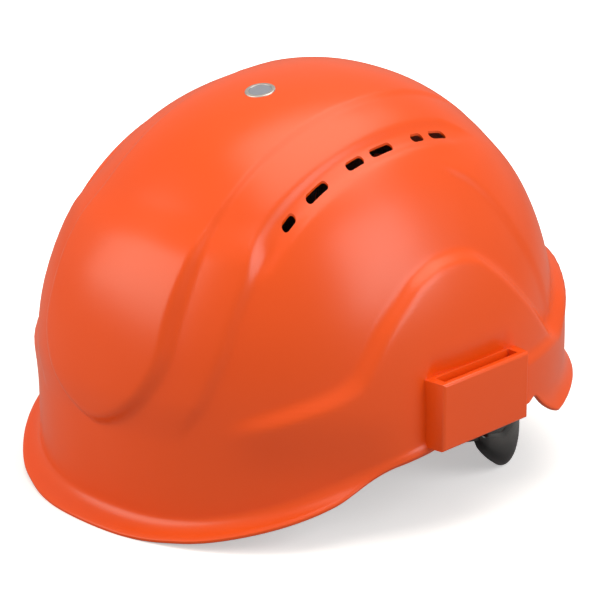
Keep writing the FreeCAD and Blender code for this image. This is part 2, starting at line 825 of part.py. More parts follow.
def indicatorBezel():
    flange = Part.makeCylinder(bezel_radius, bezel_height, Vector(0, 0, run_fit))
    rim = [e for e in flange.Edges if e.CenterOfMass.z > bezel_height]
    flange = flange.makeFillet(bezel_round, rim)
    neck = Part.makeCylinder(indicator_bore - run_fit, wall + bezel_neck, Vector(0, 0, -wall - 1))
    bore = Part.makeCylinder(indicator_bore - bezel_wall, 20, Vector(0, 0, -10))
    seat = Part.makeCylinder(indicator_radius + run_fit, 20, Vector(0, 0, bezel_seat))
    return onCrown(flange.fuse(neck).cut([bore, seat]))


def indicatorDisc():
    disc = Part.makeCylinder(indicator_radius, indicator_thickness, Vector(0, 0, bezel_seat + run_fit / 5))
    stem = Part.makeCylinder(indicator_bore - bezel_wall - run_fit * 2, wall + 1, Vector(0, 0, -wall - 0.6))
    return onCrown(disc.fuse(stem))


def slotHousing():
    base = shellRadius(math.pi / 2, rim_side + slot_height / 2, 0)
    face = base + slot_out
    z1 = rim_side + slot_height
    plan = [(base - slot_root, slot_front - slot_draft), (face, slot_front), (face, slot_rear),
            (base - slot_root, slot_rear + slot_draft)]
    points = [Vector(x, y, rim_side) for x, y in plan]
    points.append(points[0])
    body = Part.Face(Part.makePolygon(points)).extrude(Vector(0, 0, slot_height))
    outside = [e for e in body.Edges if e.CenterOfMass.x > base + 1]
    body = body.makeFillet(slot_radius, outside)
    x1 = face - slot_skin
    gap_end = slot_rear - slot_skin - slot_end_play
    gap = block(x1 - slot_gap, x1, slot_front + slot_skin, gap_end, rim_side - 5, z1 + 5)
    gap = gap.makeFillet(slot_corner, [e for e in gap.Edges if abs(e.tangentAt(e.FirstParameter).z) > 0.9])
    return body.cut([domeSolid(-run_fit * 2), gap])


def shell(outer_dome):
    hollow = outer_dome.cut(domeSolid(wall))
    mid_wall = domeSolid(wall * mid_wall_share)
    sockets = []
    for station in (frontStation(), sideStation(), rearStation()):
        piece = socket(station).common(mid_wall)
        sockets += [piece, mirrored(piece)]
    body = hollow.fuse(sockets)
    cuts = [rimCutter()]
    for y0, y1 in vent_spans:
        for x in (-vent_x, vent_x):
            cuts.append(roundedSlot(x, y0, y1, vent_width, vent_cut_from, vent_cut_to))
    cuts.append(onCrown(Part.makeCylinder(indicator_bore, 30, Vector(0, 0, -15))))
    return body.cut(cuts)


# ---- assembly ------------------------------------------------------------------------

def assemble():
    outer_dome = domeSolid(0)
    front = frontStation()
    side = sideStation()
    rear = rearStation()
    slot_left = slotHousing()
    parts = {"shell": shell(outer_dome), "accessory_slot_left": slot_left,
             "accessory_slot_right": mirrored(slot_left), "indicator_bezel": indicatorBezel(),
             "indicator_disc": indicatorDisc(), "crown_pad": crownPad(), "headband": headband(),
             "sweatband": sweatband()}
    for name, station in (("front", front), ("side", side), ("rear", rear)):
        piece = lug(station)
        parts["lug_" + name + "_left"] = piece
        parts["lug_" + name + "_right"] = mirrored(piece)
    for name, station in (("front", front), ("side", side)):
        piece = hanger(station)
        parts["hanger_" + name + "_left"] = piece
        parts["hanger_" + name + "_right"] = mirrored(piece)
    diagonal = webbing(front, rear, webbing_top)
    parts["webbing_left_front"] = diagonal
    parts["webbing_right_front"] = mirrored(webbing(front, rear, webbing_top - webbing_step))
    parts["webbing_side"] = webbing(side, side, webbing_top - 2 * webbing_step)
    pin = pivotPin()
    parts["pivot_pin_left"] = pin
    parts["pivot_pin_right"] = mirrored(pin)
    parts["nape_arm_left"] = arm(1)
    parts["nape_arm_right"] = mirrored(arm(-1))
    parts["nape_cradle"] = napeCradle()
    parts["nape_pad"] = napePad()
    parts["ratchet_cover"] = ratchetCover()
    parts["cover_screws"] = coverScrews()
    parts["detent_spring"] = detentSpring()
    parts["size_knob"] = knob()
    parts["pinion"] = pinion()
    parts["knob_screw"] = knobScrew()
    return parts


def stand(parts):
    # turn the helmet until its brim and the two nape lobes share one level, then centre it
    brim_y = -front_reach - front_flare
    angle = math.degrees(math.atan2(rim_front - lobe_bottom, lobe_y - brim_y))
    for shape in parts.values():
        shape.rotate(Vector(0, 0, 0), Vector(1, 0, 0), angle)
    low = 1e9
    near = 1e9
    back = -1e9
    for shape in parts.values():
        box = shape.optimalBoundingBox(True, False)
        low = min(low, box.ZMin)
        near = min(near, box.YMin)
        back = max(back, box.YMax)
    shift = Vector(0, -(near + back) / 2, -low)
    for shape in parts.values():
        shape.translate(shift)
    print("stand angle %.4f degrees, shift %.4f %.4f %.4f" % (angle, shift.x, shift.y, shift.z))


def main():
    parts = assemble()
    stand(parts)
    os.makedirs("parts", exist_ok=True)
    for name, shape in parts.items():
        state = "ok" if shape.isValid() else "INVALID"
        print("%-22s %s solids %d volume %.2f cm3" % (name, state, len(shape.Solids), shape.Volume / 1000))
        shape.exportStep("parts/" + name + ".step")


main()
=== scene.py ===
import itertools
import json
import math
import bpy
import bmesh
import numpy as np
from mathutils import Matrix, Vector

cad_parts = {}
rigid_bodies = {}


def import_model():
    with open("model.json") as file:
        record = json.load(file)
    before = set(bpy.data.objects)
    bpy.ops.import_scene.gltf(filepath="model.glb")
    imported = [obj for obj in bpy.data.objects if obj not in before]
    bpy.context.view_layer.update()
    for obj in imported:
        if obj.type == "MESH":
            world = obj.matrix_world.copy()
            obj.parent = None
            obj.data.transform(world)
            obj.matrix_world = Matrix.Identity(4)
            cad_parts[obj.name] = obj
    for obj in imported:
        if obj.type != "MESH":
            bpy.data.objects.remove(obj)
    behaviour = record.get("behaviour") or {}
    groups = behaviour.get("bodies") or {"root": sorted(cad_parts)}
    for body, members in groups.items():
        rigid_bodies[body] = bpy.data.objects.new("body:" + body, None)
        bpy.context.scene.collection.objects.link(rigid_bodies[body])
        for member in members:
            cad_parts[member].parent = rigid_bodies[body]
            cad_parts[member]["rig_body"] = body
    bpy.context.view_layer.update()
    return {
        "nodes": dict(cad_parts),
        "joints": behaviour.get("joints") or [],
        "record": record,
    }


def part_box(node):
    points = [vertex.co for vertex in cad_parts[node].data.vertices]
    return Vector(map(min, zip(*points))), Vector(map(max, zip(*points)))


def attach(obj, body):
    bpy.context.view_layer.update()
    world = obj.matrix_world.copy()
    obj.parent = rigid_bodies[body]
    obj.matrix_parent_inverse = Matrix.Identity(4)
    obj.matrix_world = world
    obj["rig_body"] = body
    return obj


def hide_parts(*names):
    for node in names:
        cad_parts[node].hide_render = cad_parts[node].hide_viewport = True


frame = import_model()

scene = bpy.context.scene
joints = {joint["name"]: joint for joint in frame["joints"]}
mounts = {mount["name"]: mount for mount in frame["record"]["mounts"]}
slotOf = {part["node"]: part["material_slot"] for part in frame["record"]["subparts"]}

# Shapes are drawn as the helmet is worn, in millimetres: face towards -Y, wearer's left towards +X.
# The joints say how far the standing helmet is tipped onto its brim.
standUp = Vector(joints["headband_height"]["axis"])
standTurn = Matrix.Rotation(math.atan2(-standUp.y, standUp.z), 3, "X")
napeCentre = (0, 12, -7)
standShift = Vector(joints["arm_left_feed"]["pos_m"]) * 1000 - standTurn @ Vector(napeCentre)


def toStand(points):
    # worn millimetres to the metres of the frame
    return (np.asarray(points, float) @ np.array(standTurn).T + np.array(standShift)) / 1000


def toWorn(points):
    return (np.asarray(points, float) * 1000 - np.array(standShift)) @ np.array(standTurn)


def hexColor(text):
    # sRGB hex to the linear colour that the shaders take
    values = [int(text[i:i + 2], 16) / 255 for i in (1, 3, 5)]
    linear = [v / 12.92 if v <= 0.04045 else ((v + 0.055) / 1.055) ** 2.4 for v in values]
    return (*linear, 1.0)


def addNode(tree, kind, settings=None, links=None):
    # settings: node properties, or input sockets by name or number; links: input -> (node, output)
    node = tree.nodes.new(kind)
    for key, value in (settings or {}).items():
        if isinstance(key, str) and hasattr(node, key):
            setattr(node, key, value)
        else:
            node.inputs[key].default_value = value
    for key, (source, output) in (links or {}).items():
        tree.links.new(source.outputs[output], node.inputs[key])
    return node


def addObject(name, data):
    piece = bpy.data.objects.new(name, data)
    scene.collection.objects.link(piece)
    return piece


def newMaterial(name, ior, roughness):
    material = bpy.data.materials.new(name)
    material.use_nodes = True
    tree = material.node_tree
    shader = tree.nodes["Principled BSDF"]
    shader.inputs["IOR"].default_value = ior
    shader.inputs["Roughness"].default_value = roughness
    return material, tree, shader


# real sizes of the patterns and depths of their relief, in millimetres
patternSizes = {"drift": 71.4, "sink": 16.7, "handling": 11.1, "texture": 0.714, "scratch": 1.11}
patternDepths = {"sink": 2.0, "texture": 0.3, "scratch": 0.2}


def feed(shader, socket, node, output):
    shader.id_data.links.new(node.outputs[output], shader.inputs[socket])


def moulded(name, color, shade, roughness, ior, sink=0.02, grain=0.0, spread=0.06):
    # the colour drifts slowly, the skin sinks a little over the cooling plastic, and handling dulls
    # the gloss in patches; grain is the texture that spark erosion left in the mould
    material, tree, shader = newMaterial(name, ior, roughness)
    here = {"Vector": (addNode(tree, "ShaderNodeTexCoord"), "Object")}
    cloud = addNode(tree, "ShaderNodeTexNoise", {"Scale": 1000 / patternSizes["drift"], "Detail": 2.0},
                    here)
    tint = addNode(tree, "ShaderNodeMix",
                   {"data_type": "RGBA", 6: hexColor(color), 7: hexColor(shade)}, {0: (cloud, "Fac")})
    feed(shader, "Base Color", tint, 2)
    marks = addNode(tree, "ShaderNodeTexNoise",
                    {"Scale": 1000 / patternSizes["handling"], "Detail": 6.0, "Roughness": 0.7}, here)
    gloss = addNode(tree, "ShaderNodeMapRange",
                    {"From Min": 0.35, "From Max": 0.75, "To Min": roughness,
                     "To Max": roughness + spread},
                    {"Value": (marks, "Fac")})
    feed(shader, "Roughness", gloss, "Result")
    waves = addNode(tree, "ShaderNodeTexNoise", {"Scale": 1000 / patternSizes["sink"], "Detail": 1.0},
                    here)
    bump = addNode(tree, "ShaderNodeBump", {"Strength": sink, "Distance": patternDepths["sink"] / 1000},
                   {"Height": (waves, "Fac")})
    if grain:
        fine = addNode(tree, "ShaderNodeTexNoise",
                       {"Scale": 1000 / patternSizes["texture"], "Detail": 3.0}, here)
        bump = addNode(tree, "ShaderNodeBump",
                       {"Strength": grain, "Distance": patternDepths["texture"] / 1000},
                       {"Height": (fine, "Fac"), "Normal": (bump, "Normal")})
    feed(shader, "Normal", bump, "Normal")
    return material


def metal(name, color, roughness, scratches):
    # small marks from the finishing break up the reflection and turn it from a mirror to a sheen
    material, tree, shader = newMaterial(name, 1.5, roughness)
    shader.inputs["Base Color"].default_value = hexColor(color)
    shader.inputs["Metallic"].default_value = 1.0
    here = {"Vector": (addNode(tree, "ShaderNodeTexCoord"), "Object")}
    marks = addNode(tree, "ShaderNodeTexNoise",
                    {"Scale": 1000 / patternSizes["scratch"], "Detail": 4.0}, here)
    gloss = addNode(tree, "ShaderNodeMapRange", {"To Min": roughness, "To Max": roughness + 0.15},
                    {"Value": (marks, "Fac")})
    feed(shader, "Roughness", gloss, "Result")
    bump = addNode(tree, "ShaderNodeBump",
                   {"Strength": scratches, "Distance": patternDepths["scratch"] / 1000},
                   {"Height": (marks, "Fac")})
    feed(shader, "Normal", bump, "Normal")
    return material


def woven(name, color, shade, threadMm, slant, hollowMm):
    # threads cross at the given spacing; the thread tops are coloured lighter and the hollows between
    # them darker, which is painted shade
    material, tree, shader = newMaterial(name, 1.5, 0.85)
    shader.inputs["Sheen Weight"].default_value = 0.25
    place = addNode(tree, "ShaderNodeUVMap", {"uv_map": "cloth"})
    turned = addNode(tree, "ShaderNodeMapping", {"Rotation": (0, 0, math.radians(slant))},
                     {"Vector": (place, "UV")})
    split = addNode(tree, "ShaderNodeSeparateXYZ", {}, {"Vector": (turned, "Vector")})
    ridges = []
    for axis in ("X", "Y"):
        angle = addNode(tree, "ShaderNodeMath", {"operation": "MULTIPLY", 1: math.pi / threadMm},
                        {0: (split, axis)})
        ridges.append(addNode(tree, "ShaderNodeMath", {"operation": "SINE"}, {0: (angle, "Value")}))
    crossing = addNode(tree, "ShaderNodeMath", {"operation": "MULTIPLY"},
                       {0: (ridges[0], "Value"), 1: (ridges[1], "Value")})
    height = addNode(tree, "ShaderNodeMath", {"operation": "ABSOLUTE"}, {0: (crossing, "Value")})
    # painted shade: the colour darkens from the thread tops into the hollows, where the shade colour is
    # used
    tint = addNode(tree, "ShaderNodeMix",
                   {"data_type": "RGBA", 6: hexColor(shade), 7: hexColor(color)},
                   {0: (height, "Value")})
    feed(shader, "Base Color", tint, 2)
    bump = addNode(tree, "ShaderNodeBump", {"Strength": 0.7, "Distance": hollowMm / 1000},
                   {"Height": (height, "Value")})
    feed(shader, "Normal", bump, "Normal")
    return material


# each is named for what it is made of and how; the cloths' threads are drawn about twice as wide as
# real ones, so that they show
looks = {
    # a polished mould: even colour, with broad soft highlights that follow each panel
    "shell_plastic": moulded("glossy moulded ABS, orange", "#F45608", "#EE5006", 0.3, 1.54, 0.01,
                             spread=0.03),
    # blasting leaves a satin skin, so the ring glows white and mirrors nothing
    "bright_ring": metal("bead blasted anodised aluminium", "#D6D2CE", 0.34, 0.15),
    # hard and smooth: flat grey under one small sharp highlight
    "indicator_plastic": moulded("moulded polycarbonate, grey", "#8E94A0", "#868C98", 0.28, 1.58),
    # knitted loops: matt, with a slanting grid of small dots, and painted shade in the hollows between
    # them
    "pad_fabric": woven("knitted polyester over foam, black", "#202124", "#0A0A0B", 1.1, 45, 0.25),
    # flat tape: matt, with a square grid of crossings along its length, and painted shade between them
    "webbing": woven("woven polyester tape, black", "#26272A", "#101012", 0.9, 0, 0.2),
    # soft plastic with a light texture: waxy, with wide dim highlights
    "band_plastic": moulded("moulded polyethylene, black", "#1B1B1D", "#161618", 0.5, 1.51, 0.02, 0.25),
    # a polished mould: deep black with narrow bright highlights
    "nape_plastic": moulded("moulded glossy nylon, black", "#121214", "#0D0D0F", 0.2, 1.53),
    # textured for grip: highlights scatter to a grey bloom
    "knob_plastic": moulded("spark textured nylon, black", "#17171A", "#121214", 0.48, 1.53, 0.02, 0.4),
    # dense and slippery: milky white, softly glossy
    "gear_plastic": moulded("moulded acetal, natural white", "#E4E2DA", "#DAD8CF", 0.35, 1.48),
    # rolled smooth: dark grey sheen with faint streaks
    "spring_steel": metal("cold rolled spring steel", "#A8A8AB", 0.3, 0.1),
    # plating: pale, slightly blue sheen
    "screw_steel": metal("zinc plated steel", "#B9BCC2", 0.32, 0.12),
    # plain mould: black with an even half gloss
    "pin_plastic": moulded("moulded nylon, black", "#151517", "#101012", 0.36, 1.53),
    # light texture: dark grey, duller than the shell so that the lugs stand apart
    "lug_plastic": moulded("moulded nylon, dark grey", "#232326", "#1C1C1F", 0.42, 1.53, 0.02, 0.2),
    # twisted fibres: matt grey, lighter than the cloth, so each stitch shows; painted shade lies
    # between the fibres
    "thread": woven("spun polyester thread, grey", "#5C5E63", "#36373A", 0.25, 30, 0.05),
}


def ease(start, end, value):
    t = np.clip((value - start) / (end - start), 0, 1)
    return t * t * (3 - 2 * t)


def smoothLine(points, x):
    # a smooth line through a few points that never overshoots them
    xs, ys = np.asarray(points, float).T
    steps = np.diff(xs)
    rises = np.diff(ys) / steps
    slopes = np.zeros_like(ys)
    same = rises[1:] * rises[:-1] > 0
    slopes[1:-1][same] = (2 * rises[1:][same] * rises[:-1][same]
                          / (rises[1:][same] + rises[:-1][same]))
    i = np.clip(np.searchsorted(xs, x) - 1, 0, len(steps) - 1)
    t = np.clip((x - xs[i]) / steps[i], 0, 1)
    return ((2 * t ** 3 - 3 * t ** 2 + 1) * ys[i] + (t ** 3 - 2 * t ** 2 + t) * steps[i] * slopes[i]
            + (3 * t ** 2 - 2 * t ** 3) * ys[i + 1] + (t ** 3 - t ** 2) * steps[i] * slopes[i + 1])


def resample(line, step):
    # the line with even steps, and how far along it each point lies
    lengths = np.concatenate([[0], np.cumsum(np.linalg.norm(np.diff(line, axis=0), axis=1))])
    count = int(lengths[-1] / step) + 1
    along = np.linspace(0, lengths[-1], count)
    points = [np.interp(along, lengths, line[:, 0]), np.interp(along, lengths, line[:, 1])]
    return np.stack(points, -1), along


def ringPoints(radius, count):
    turns = [math.tau * i / count for i in range(count)]
    return [(radius * math.cos(a), radius * math.sin(a)) for a in turns]


def makeObject(name, verts, faces, look, sharpAngle=40, uv=None):
    # uv: one (u, v) per vertex, in millimetres of cloth
    mesh = bpy.data.meshes.new(name)
    mesh.from_pydata([tuple(v) for v in verts], [], [tuple(f) for f in faces])
    mesh.validate()
    mesh.materials.append(look)
    if uv is not None:
        layer = mesh.uv_layers.new(name="cloth")
        for loop in mesh.loops:
            layer.data[loop.index].uv = uv[loop.vertex_index]
    mesh.shade_smooth()
    piece = addObject(name, mesh)
    if sharpAngle:
        mesh.set_sharp_from_angle(angle=math.radians(sharpAngle))
    return piece


# in metres: points that lie nearer than this become one, and shorter edges go
mergeSizes = {"own": 3e-6, "cad": 2e-6}
flatAngle = 1  # degrees: CAD facets that meet flatter than this become one face


def bake(piece, sharpAngle=40):
    # the modifiers' result becomes the piece's own plain mesh
    depsgraph = bpy.context.evaluated_depsgraph_get()
    mesh = bpy.data.meshes.new_from_object(piece.evaluated_get(depsgraph))
    piece.modifiers.clear()
    piece.data = mesh
    shape = bmesh.new()
    shape.from_mesh(mesh)
    bmesh.ops.remove_doubles(shape, verts=shape.verts, dist=mergeSizes["own"])
    bmesh.ops.dissolve_degenerate(shape, edges=shape.edges, dist=mergeSizes["own"])
    shape.to_mesh(mesh)
    shape.free()
    mesh.shade_smooth()
    if sharpAngle:
        mesh.set_sharp_from_angle(angle=math.radians(sharpAngle))


def cutAway(piece, cutter, sharpAngle=40):
    # boolean difference; the cutter is used up
    carve = piece.modifiers.new("cut", "BOOLEAN")
    carve.operation = "DIFFERENCE"
    carve.solver = "EXACT"
    carve.object = cutter
    bake(piece, sharpAngle)
    bpy.data.objects.remove(cutter)


def roundEdges(piece, width, segments=2, angle=32):
    bevel = piece.modifiers.new("edges", "BEVEL")
    bevel.width = width / 1000
    bevel.segments = segments
    bevel.limit_method = "ANGLE"
    bevel.angle_limit = math.radians(angle)
    bevel.use_clamp_overlap = True
    bake(piece)


# millimetres by which the sharp edges of each CAD solid are rounded, by the start of its name
edgeWidths = {
    "accessory_slot": 1.3, "indicator_bezel": 0.15, "indicator_disc": 0.12, "lug": 0.5, "hanger": 0.25,
    "headband": 0.35, "nape_cradle": 0.45, "nape_arm": 0.2, "pivot_pin": 0.25, "ratchet_cover": 0.35,
    "size_knob": 0.3, "cover_screws": 0.12, "knob_screw": 0.12, "detent_spring": 0.08, "pinion": 0.12,
}


def softened(node):
    # a copy of a CAD solid with its sharp edges rounded, in the finish that the record gives it
    name = "".join(word.capitalize() for word in node.split("_"))
    piece = addObject(name, frame["nodes"][node].data.copy())
    shape = bmesh.new()
    shape.from_mesh(piece.data)
    bmesh.ops.remove_doubles(shape, verts=shape.verts, dist=mergeSizes["cad"])
    bmesh.ops.dissolve_limit(shape, angle_limit=math.radians(flatAngle), verts=shape.verts,
                             edges=shape.edges)
    shape.to_mesh(piece.data)
    shape.free()
    piece.data.materials.clear()
    piece.data.materials.append(looks[slotOf[node]])
    roundEdges(piece, next(edgeWidths[start] for start in edgeWidths if node.startswith(start)))
    settle(piece, node)


def settle(piece, node):
    # the piece stands for the CAD node and rides on its body
    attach(piece, frame["nodes"][node]["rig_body"])
    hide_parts(node)


def gridFaces(rows, columns, start=0):
    # quads between rings of points
    faces = []
    for row in range(rows - 1):
        for i in range(columns):
            a = start + row * columns + i
            b = start + row * columns + (i + 1) % columns
            faces.append((a, b, b + columns, a + columns))
    return faces


def tubeFaces(rows, columns, start=0):
    # rings closed by a flat face at each end
    last = start + (rows - 1) * columns
    return gridFaces(rows, columns, start) + [tuple(start + i for i in reversed(range(columns))),
                                              tuple(last + i for i in range(columns))]


blockFaces = [(0, 2, 3, 1), (4, 5, 7, 6), (0, 1, 5, 4), (2, 6, 7, 3), (0, 4, 6, 2), (1, 3, 7, 5)]


# millimetres, except for the powers and counts; crowding packs columns towards the face and nape
shellSizes = {
    "halfWidth": 106.0, "frontReach": 133.3, "rearReach": 113.0, "domeHeight": 130.0, "shoulder": 37.6,
    "planPower": 2.233, "domePower": 2.158, "wall": 2.5, "columns": 460, "domeRows": 106,
    "skirtRows": 50, "innerRows": 34, "lipSteps": 4, "crowding": 0.06, "crownGap": 0.012,
    "innerCrownGap": 0.02,
}
# arcs: degrees from the face, where the flare or the edge changes; lines: the edge's side view
rimSizes = {
    "brim": 14.6, "narrowing": 12.6, "brimArc": (5, 100), "rearLip": 6.5, "lipArc": (108, 145),
    "front": -10.0, "side": 26.0, "sideArc": (10, 90), "drop": 12.0, "dropArc": (98, 122),
    "flareHeight": 9.5, "rearHeight": 6, "rearArc": (100, 125), "flareCap": 1.3, "flarePower": 2.4,
    "flareReach": 1.1, "notchY": 36.0,
    "frontLine": ((-148, -9.6), (-138, -7.8), (-120, -3.0), (-83, 8.0), (-50, 20.5), (-12, 25.6),
                  (20, 26), (29, 26), (36, 28.6)),
    "rearLine": ((36, 28.6), (43, 21), (49, 15.4), (54, 12.2), (56, 11.6), (59, 11.7), (66, 12.4),
                 (80, 13.8), (100, 15), (120, 16)),
}


def shellPlan(phi):
    s = np.sin(phi)
    c = -np.cos(phi)
    reach = np.where(c < 0, shellSizes["frontReach"], shellSizes["rearReach"])
    power = shellSizes["planPower"]
    return (np.abs(s / shellSizes["halfWidth"]) ** power + np.abs(c / reach) ** power) ** (-1 / power)


def shellFlare(phi):
    # how far the edge stands out
    d = np.degrees(np.abs(phi))
    return (rimSizes["brim"] - rimSizes["narrowing"] * ease(*rimSizes["brimArc"], d)
            + rimSizes["rearLip"] * ease(*rimSizes["lipArc"], d))


def shellRimLevel(phi):
    # rim height without the notch, which places the flare
    d = np.degrees(np.abs(phi))
    rise = rimSizes["side"] - rimSizes["front"]
    return (rimSizes["front"] + rise * ease(*rimSizes["sideArc"], d)
            - rimSizes["drop"] * ease(*rimSizes["dropArc"], d))


def shellRim(y):
    # side view of the edge: brim, straight side, sharp notch, rear lobe, nape
    front = smoothLine(rimSizes["frontLine"], y)
    rear = smoothLine(rimSizes["rearLine"], y)
    return np.where(y < rimSizes["notchY"], front, rear) + shellSizes["wall"] / 2


def shellBase(phi, t):
    # t runs 0 at the crown, 1 at the shoulder, 2 at the rim
    radius = shellPlan(phi)
    polar = np.pi / 2 * (1 - np.clip(t, 0, 1))
    c = np.cos(polar)
    s = np.sin(polar)
    power = shellSizes["domePower"]
    k = (c ** power + s ** power) ** (-1 / power)
    r = radius * c * k
    z = shellSizes["shoulder"] + shellSizes["domeHeight"] * s * k
    flare = shellFlare(phi)
    rim = shellRim(-(radius + flare * rimSizes["flareReach"]) * np.cos(phi))
    z = z + (rim - shellSizes["shoulder"]) * np.clip(t - 1, 0, 1)
    d = np.degrees(np.abs(phi))
    height = rimSizes["flareHeight"] + rimSizes["rearHeight"] * ease(*rimSizes["rearArc"], d)
    lift = np.clip((shellRimLevel(phi) + height - z) / height, 0, rimSizes["flareCap"])
    r = r + flare * lift ** rimSizes["flarePower"]
    return np.stack([r * np.sin(phi), -r * np.cos(phi), z], -1)


# in the relief below, a pair of numbers is where something fades in or out
skirtSizes = {"depth": 6.3, "startY": (21, 27), "slope": ((100, 5), (118, 6), (126, 9), (180, 10)),
              "top": ((100, 52.5), (122, 54), (135, 66), (150, 75), (180, 83))}


def rearSkirt(points, phi):
    # raised skirt round the back, starting on a ledge behind the slot housing
    y, z = points[..., 1], points[..., 2]
    d = np.degrees(np.abs(phi))
    down = (smoothLine(skirtSizes["top"], d) - z) / smoothLine(skirtSizes["slope"], d)
    return skirtSizes["depth"] * ease(0, 1, down) * ease(*skirtSizes["startY"], y)


crownSizes = {"halfWidth": 34, "startZ": 78, "drop": 38, "tongueEnd": 1.6, "widthPower": 1 / 0.6,
              "slopePower": 0.667, "dropPower": 1.8, "flatX": 4, "raised": 0.9, "backY": (45, 75),
              "foreheadRaised": 3.2, "foreheadZ": (142, 96), "slant": 2.4, "foreheadSlant": 3.0,
              "slantTop": 0.6}


def crownPanel(x, y, z):
    # raised panel over the crown, which runs down the forehead as a rounded tongue
    sizes = crownSizes
    half, drop = sizes["halfWidth"], sizes["drop"]
    u = np.where(y < 0, np.clip((sizes["startZ"] - z) / drop, 0, sizes["tongueEnd"]), 0)
    inside = (x / half) ** sizes["widthPower"] + u ** sizes["dropPower"]
    gradX = sizes["widthPower"] * (np.maximum(x, sizes["flatX"]) / half) ** sizes["slopePower"] / half
    gradZ = sizes["dropPower"] * u ** (sizes["dropPower"] - 1) / drop
    edge = (1 - inside) / np.sqrt(gradX ** 2 + gradZ ** 2)
    forehead = np.where(y < 0, ease(*sizes["foreheadZ"], z), 0)
    raised = sizes["raised"] * (1 - ease(*sizes["backY"], y)) + sizes["foreheadRaised"] * forehead
    slant = sizes["slant"] + sizes["foreheadSlant"] * forehead
    return raised * ease(-slant, sizes["slantTop"], edge)


creaseSizes = {"depth": 2.2, "width": (-1.5, 4.0), "lowZ": (34, 56), "highZ": (112, 130),
               "line": ((30, 38), (38, 43), (58, 53), (82, 57.5), (103, 57.5), (122, 55.5), (135, 54))}


def foreheadCrease(x, y, z):
    # second crease, where the forehead's shoulder steps down
    along = np.where(y < 0, ease(*creaseSizes["lowZ"], z) * (1 - ease(*creaseSizes["highZ"], z)), 0)
    across = x - smoothLine(creaseSizes["line"], z)
    return creaseSizes["depth"] * along * (1 - ease(*creaseSizes["width"], across))


ventSizes = {"x": 58.0, "width": 4.0, "corners": 16, "reach": (95, 190),
             "spans": ((-74.6, -67.4), (-59.9, -47.4), (-35.2, -24.9), (-20.2, -6.7), (6.0, 13.2),
                       (17.8, 27.9)),
             "channelDepth": 1.7, "channelTip": 1.2, "channelWidth": 3.4, "channelPower": 4,
             "channelFront": (-98, -84), "channelRear": (28, 48), "channelZ": (90, 104)}


def ventChannel(x, y, z):
    # shallow channel that the vents lie in
    sizes = ventSizes
    ends = ease(*sizes["channelFront"], y) * (1 - ease(*sizes["channelRear"], y))
    across = (x - sizes["x"]) / (sizes["channelTip"] + sizes["channelWidth"] * ends)
    hollow = np.exp(-across ** sizes["channelPower"])
    return sizes["channelDepth"] * ends * hollow * ease(*sizes["channelZ"], z)


ridgeSizes = {"height": 1.1, "width": (-1, 5), "startX": (44, 60), "lowZ": (46, 60),
              "highZ": (130, 142), "line": ((40, 66), (54, 62.8), (77, 54), (98, 42.7), (126, 23.5),
                                            (137, 9.5), (150, -8))}


def rearRidge(x, y, z):
    # soft ridge from the last vent down to the side panel's rear corner
    sizes = ridgeSizes
    behind = ease(*sizes["width"], y - smoothLine(sizes["line"], z))
    return (sizes["height"] * behind * ease(*sizes["startX"], x) * ease(*sizes["lowZ"], z)
            * (1 - ease(*sizes["highZ"], z)))


sideSizes = {"height": 4.3, "slant": 7.4, "startX": (55, 70), "frontY": (-122, -98), "slopeStep": 2,
             "brimZ": (-6, 34), "brimTilt": 0.25, "brimY": (-68, -36), "housingFront": (-33, -29),
             "housingRear": (15, 19), "housingLow": (24, 30), "housingStep": 1.3,
             "housingSteps": ((55, 58), (59, 68)),
             "arch": ((-120, 45.5), (-108, 50), (-91, 56), (-80, 59.5), (-72, 63), (-67, 67), (-61, 75),
                      (-53, 85), (-42, 94.5), (-30, 102.5), (-15, 107), (-6, 107.5), (6, 105.5),
                      (20, 96), (37, 79), (54, 60), (64, 49), (72, 38))}


def sidePanel(x, y, z):
    # raised panel under the arch, which sinks back where the slot housing stands on it
    sizes = sideSizes
    arch, step, sink = sizes["arch"], sizes["slopeStep"], sizes["housingStep"]
    slope = (smoothLine(arch, y + step) - smoothLine(arch, y - step)) / (2 * step)
    depth = (smoothLine(arch, y) - z) / np.sqrt(1 + slope ** 2)
    brim = (1 - ease(*sizes["brimZ"], z + sizes["brimTilt"] * y)) * (1 - ease(*sizes["brimY"], y))
    along = ease(*sizes["housingFront"], y) * (1 - ease(*sizes["housingRear"], y))
    first, second = sizes["housingSteps"]
    sunk = along * (2 * sink - sink * ease(*first, z) - sink * ease(*second, z))
    sunk = sunk * ease(*sizes["housingLow"], z)
    return ((sizes["height"] - sunk) * ease(0, sizes["slant"], depth) * ease(*sizes["startX"], x)
            * (1 - brim) * ease(*sizes["frontY"], y))


def shellRelief(points, phi):
    # raised panels, creases and the vent channel, as millimetres along the surface normal
    x = np.abs(points[..., 0])
    y, z = points[..., 1], points[..., 2]
    return (crownPanel(x, y, z) + foreheadCrease(x, y, z) - ventChannel(x, y, z) + rearRidge(x, y, z)
            + np.maximum(sidePanel(x, y, z), rearSkirt(points, phi)))


def shellNormals(points):
    across = np.roll(points, -1, 1) - np.roll(points, 1, 1)
    down = np.gradient(points, axis=0)
    normals = np.cross(down, across)
    return normals / np.linalg.norm(normals, axis=-1, keepdims=True)


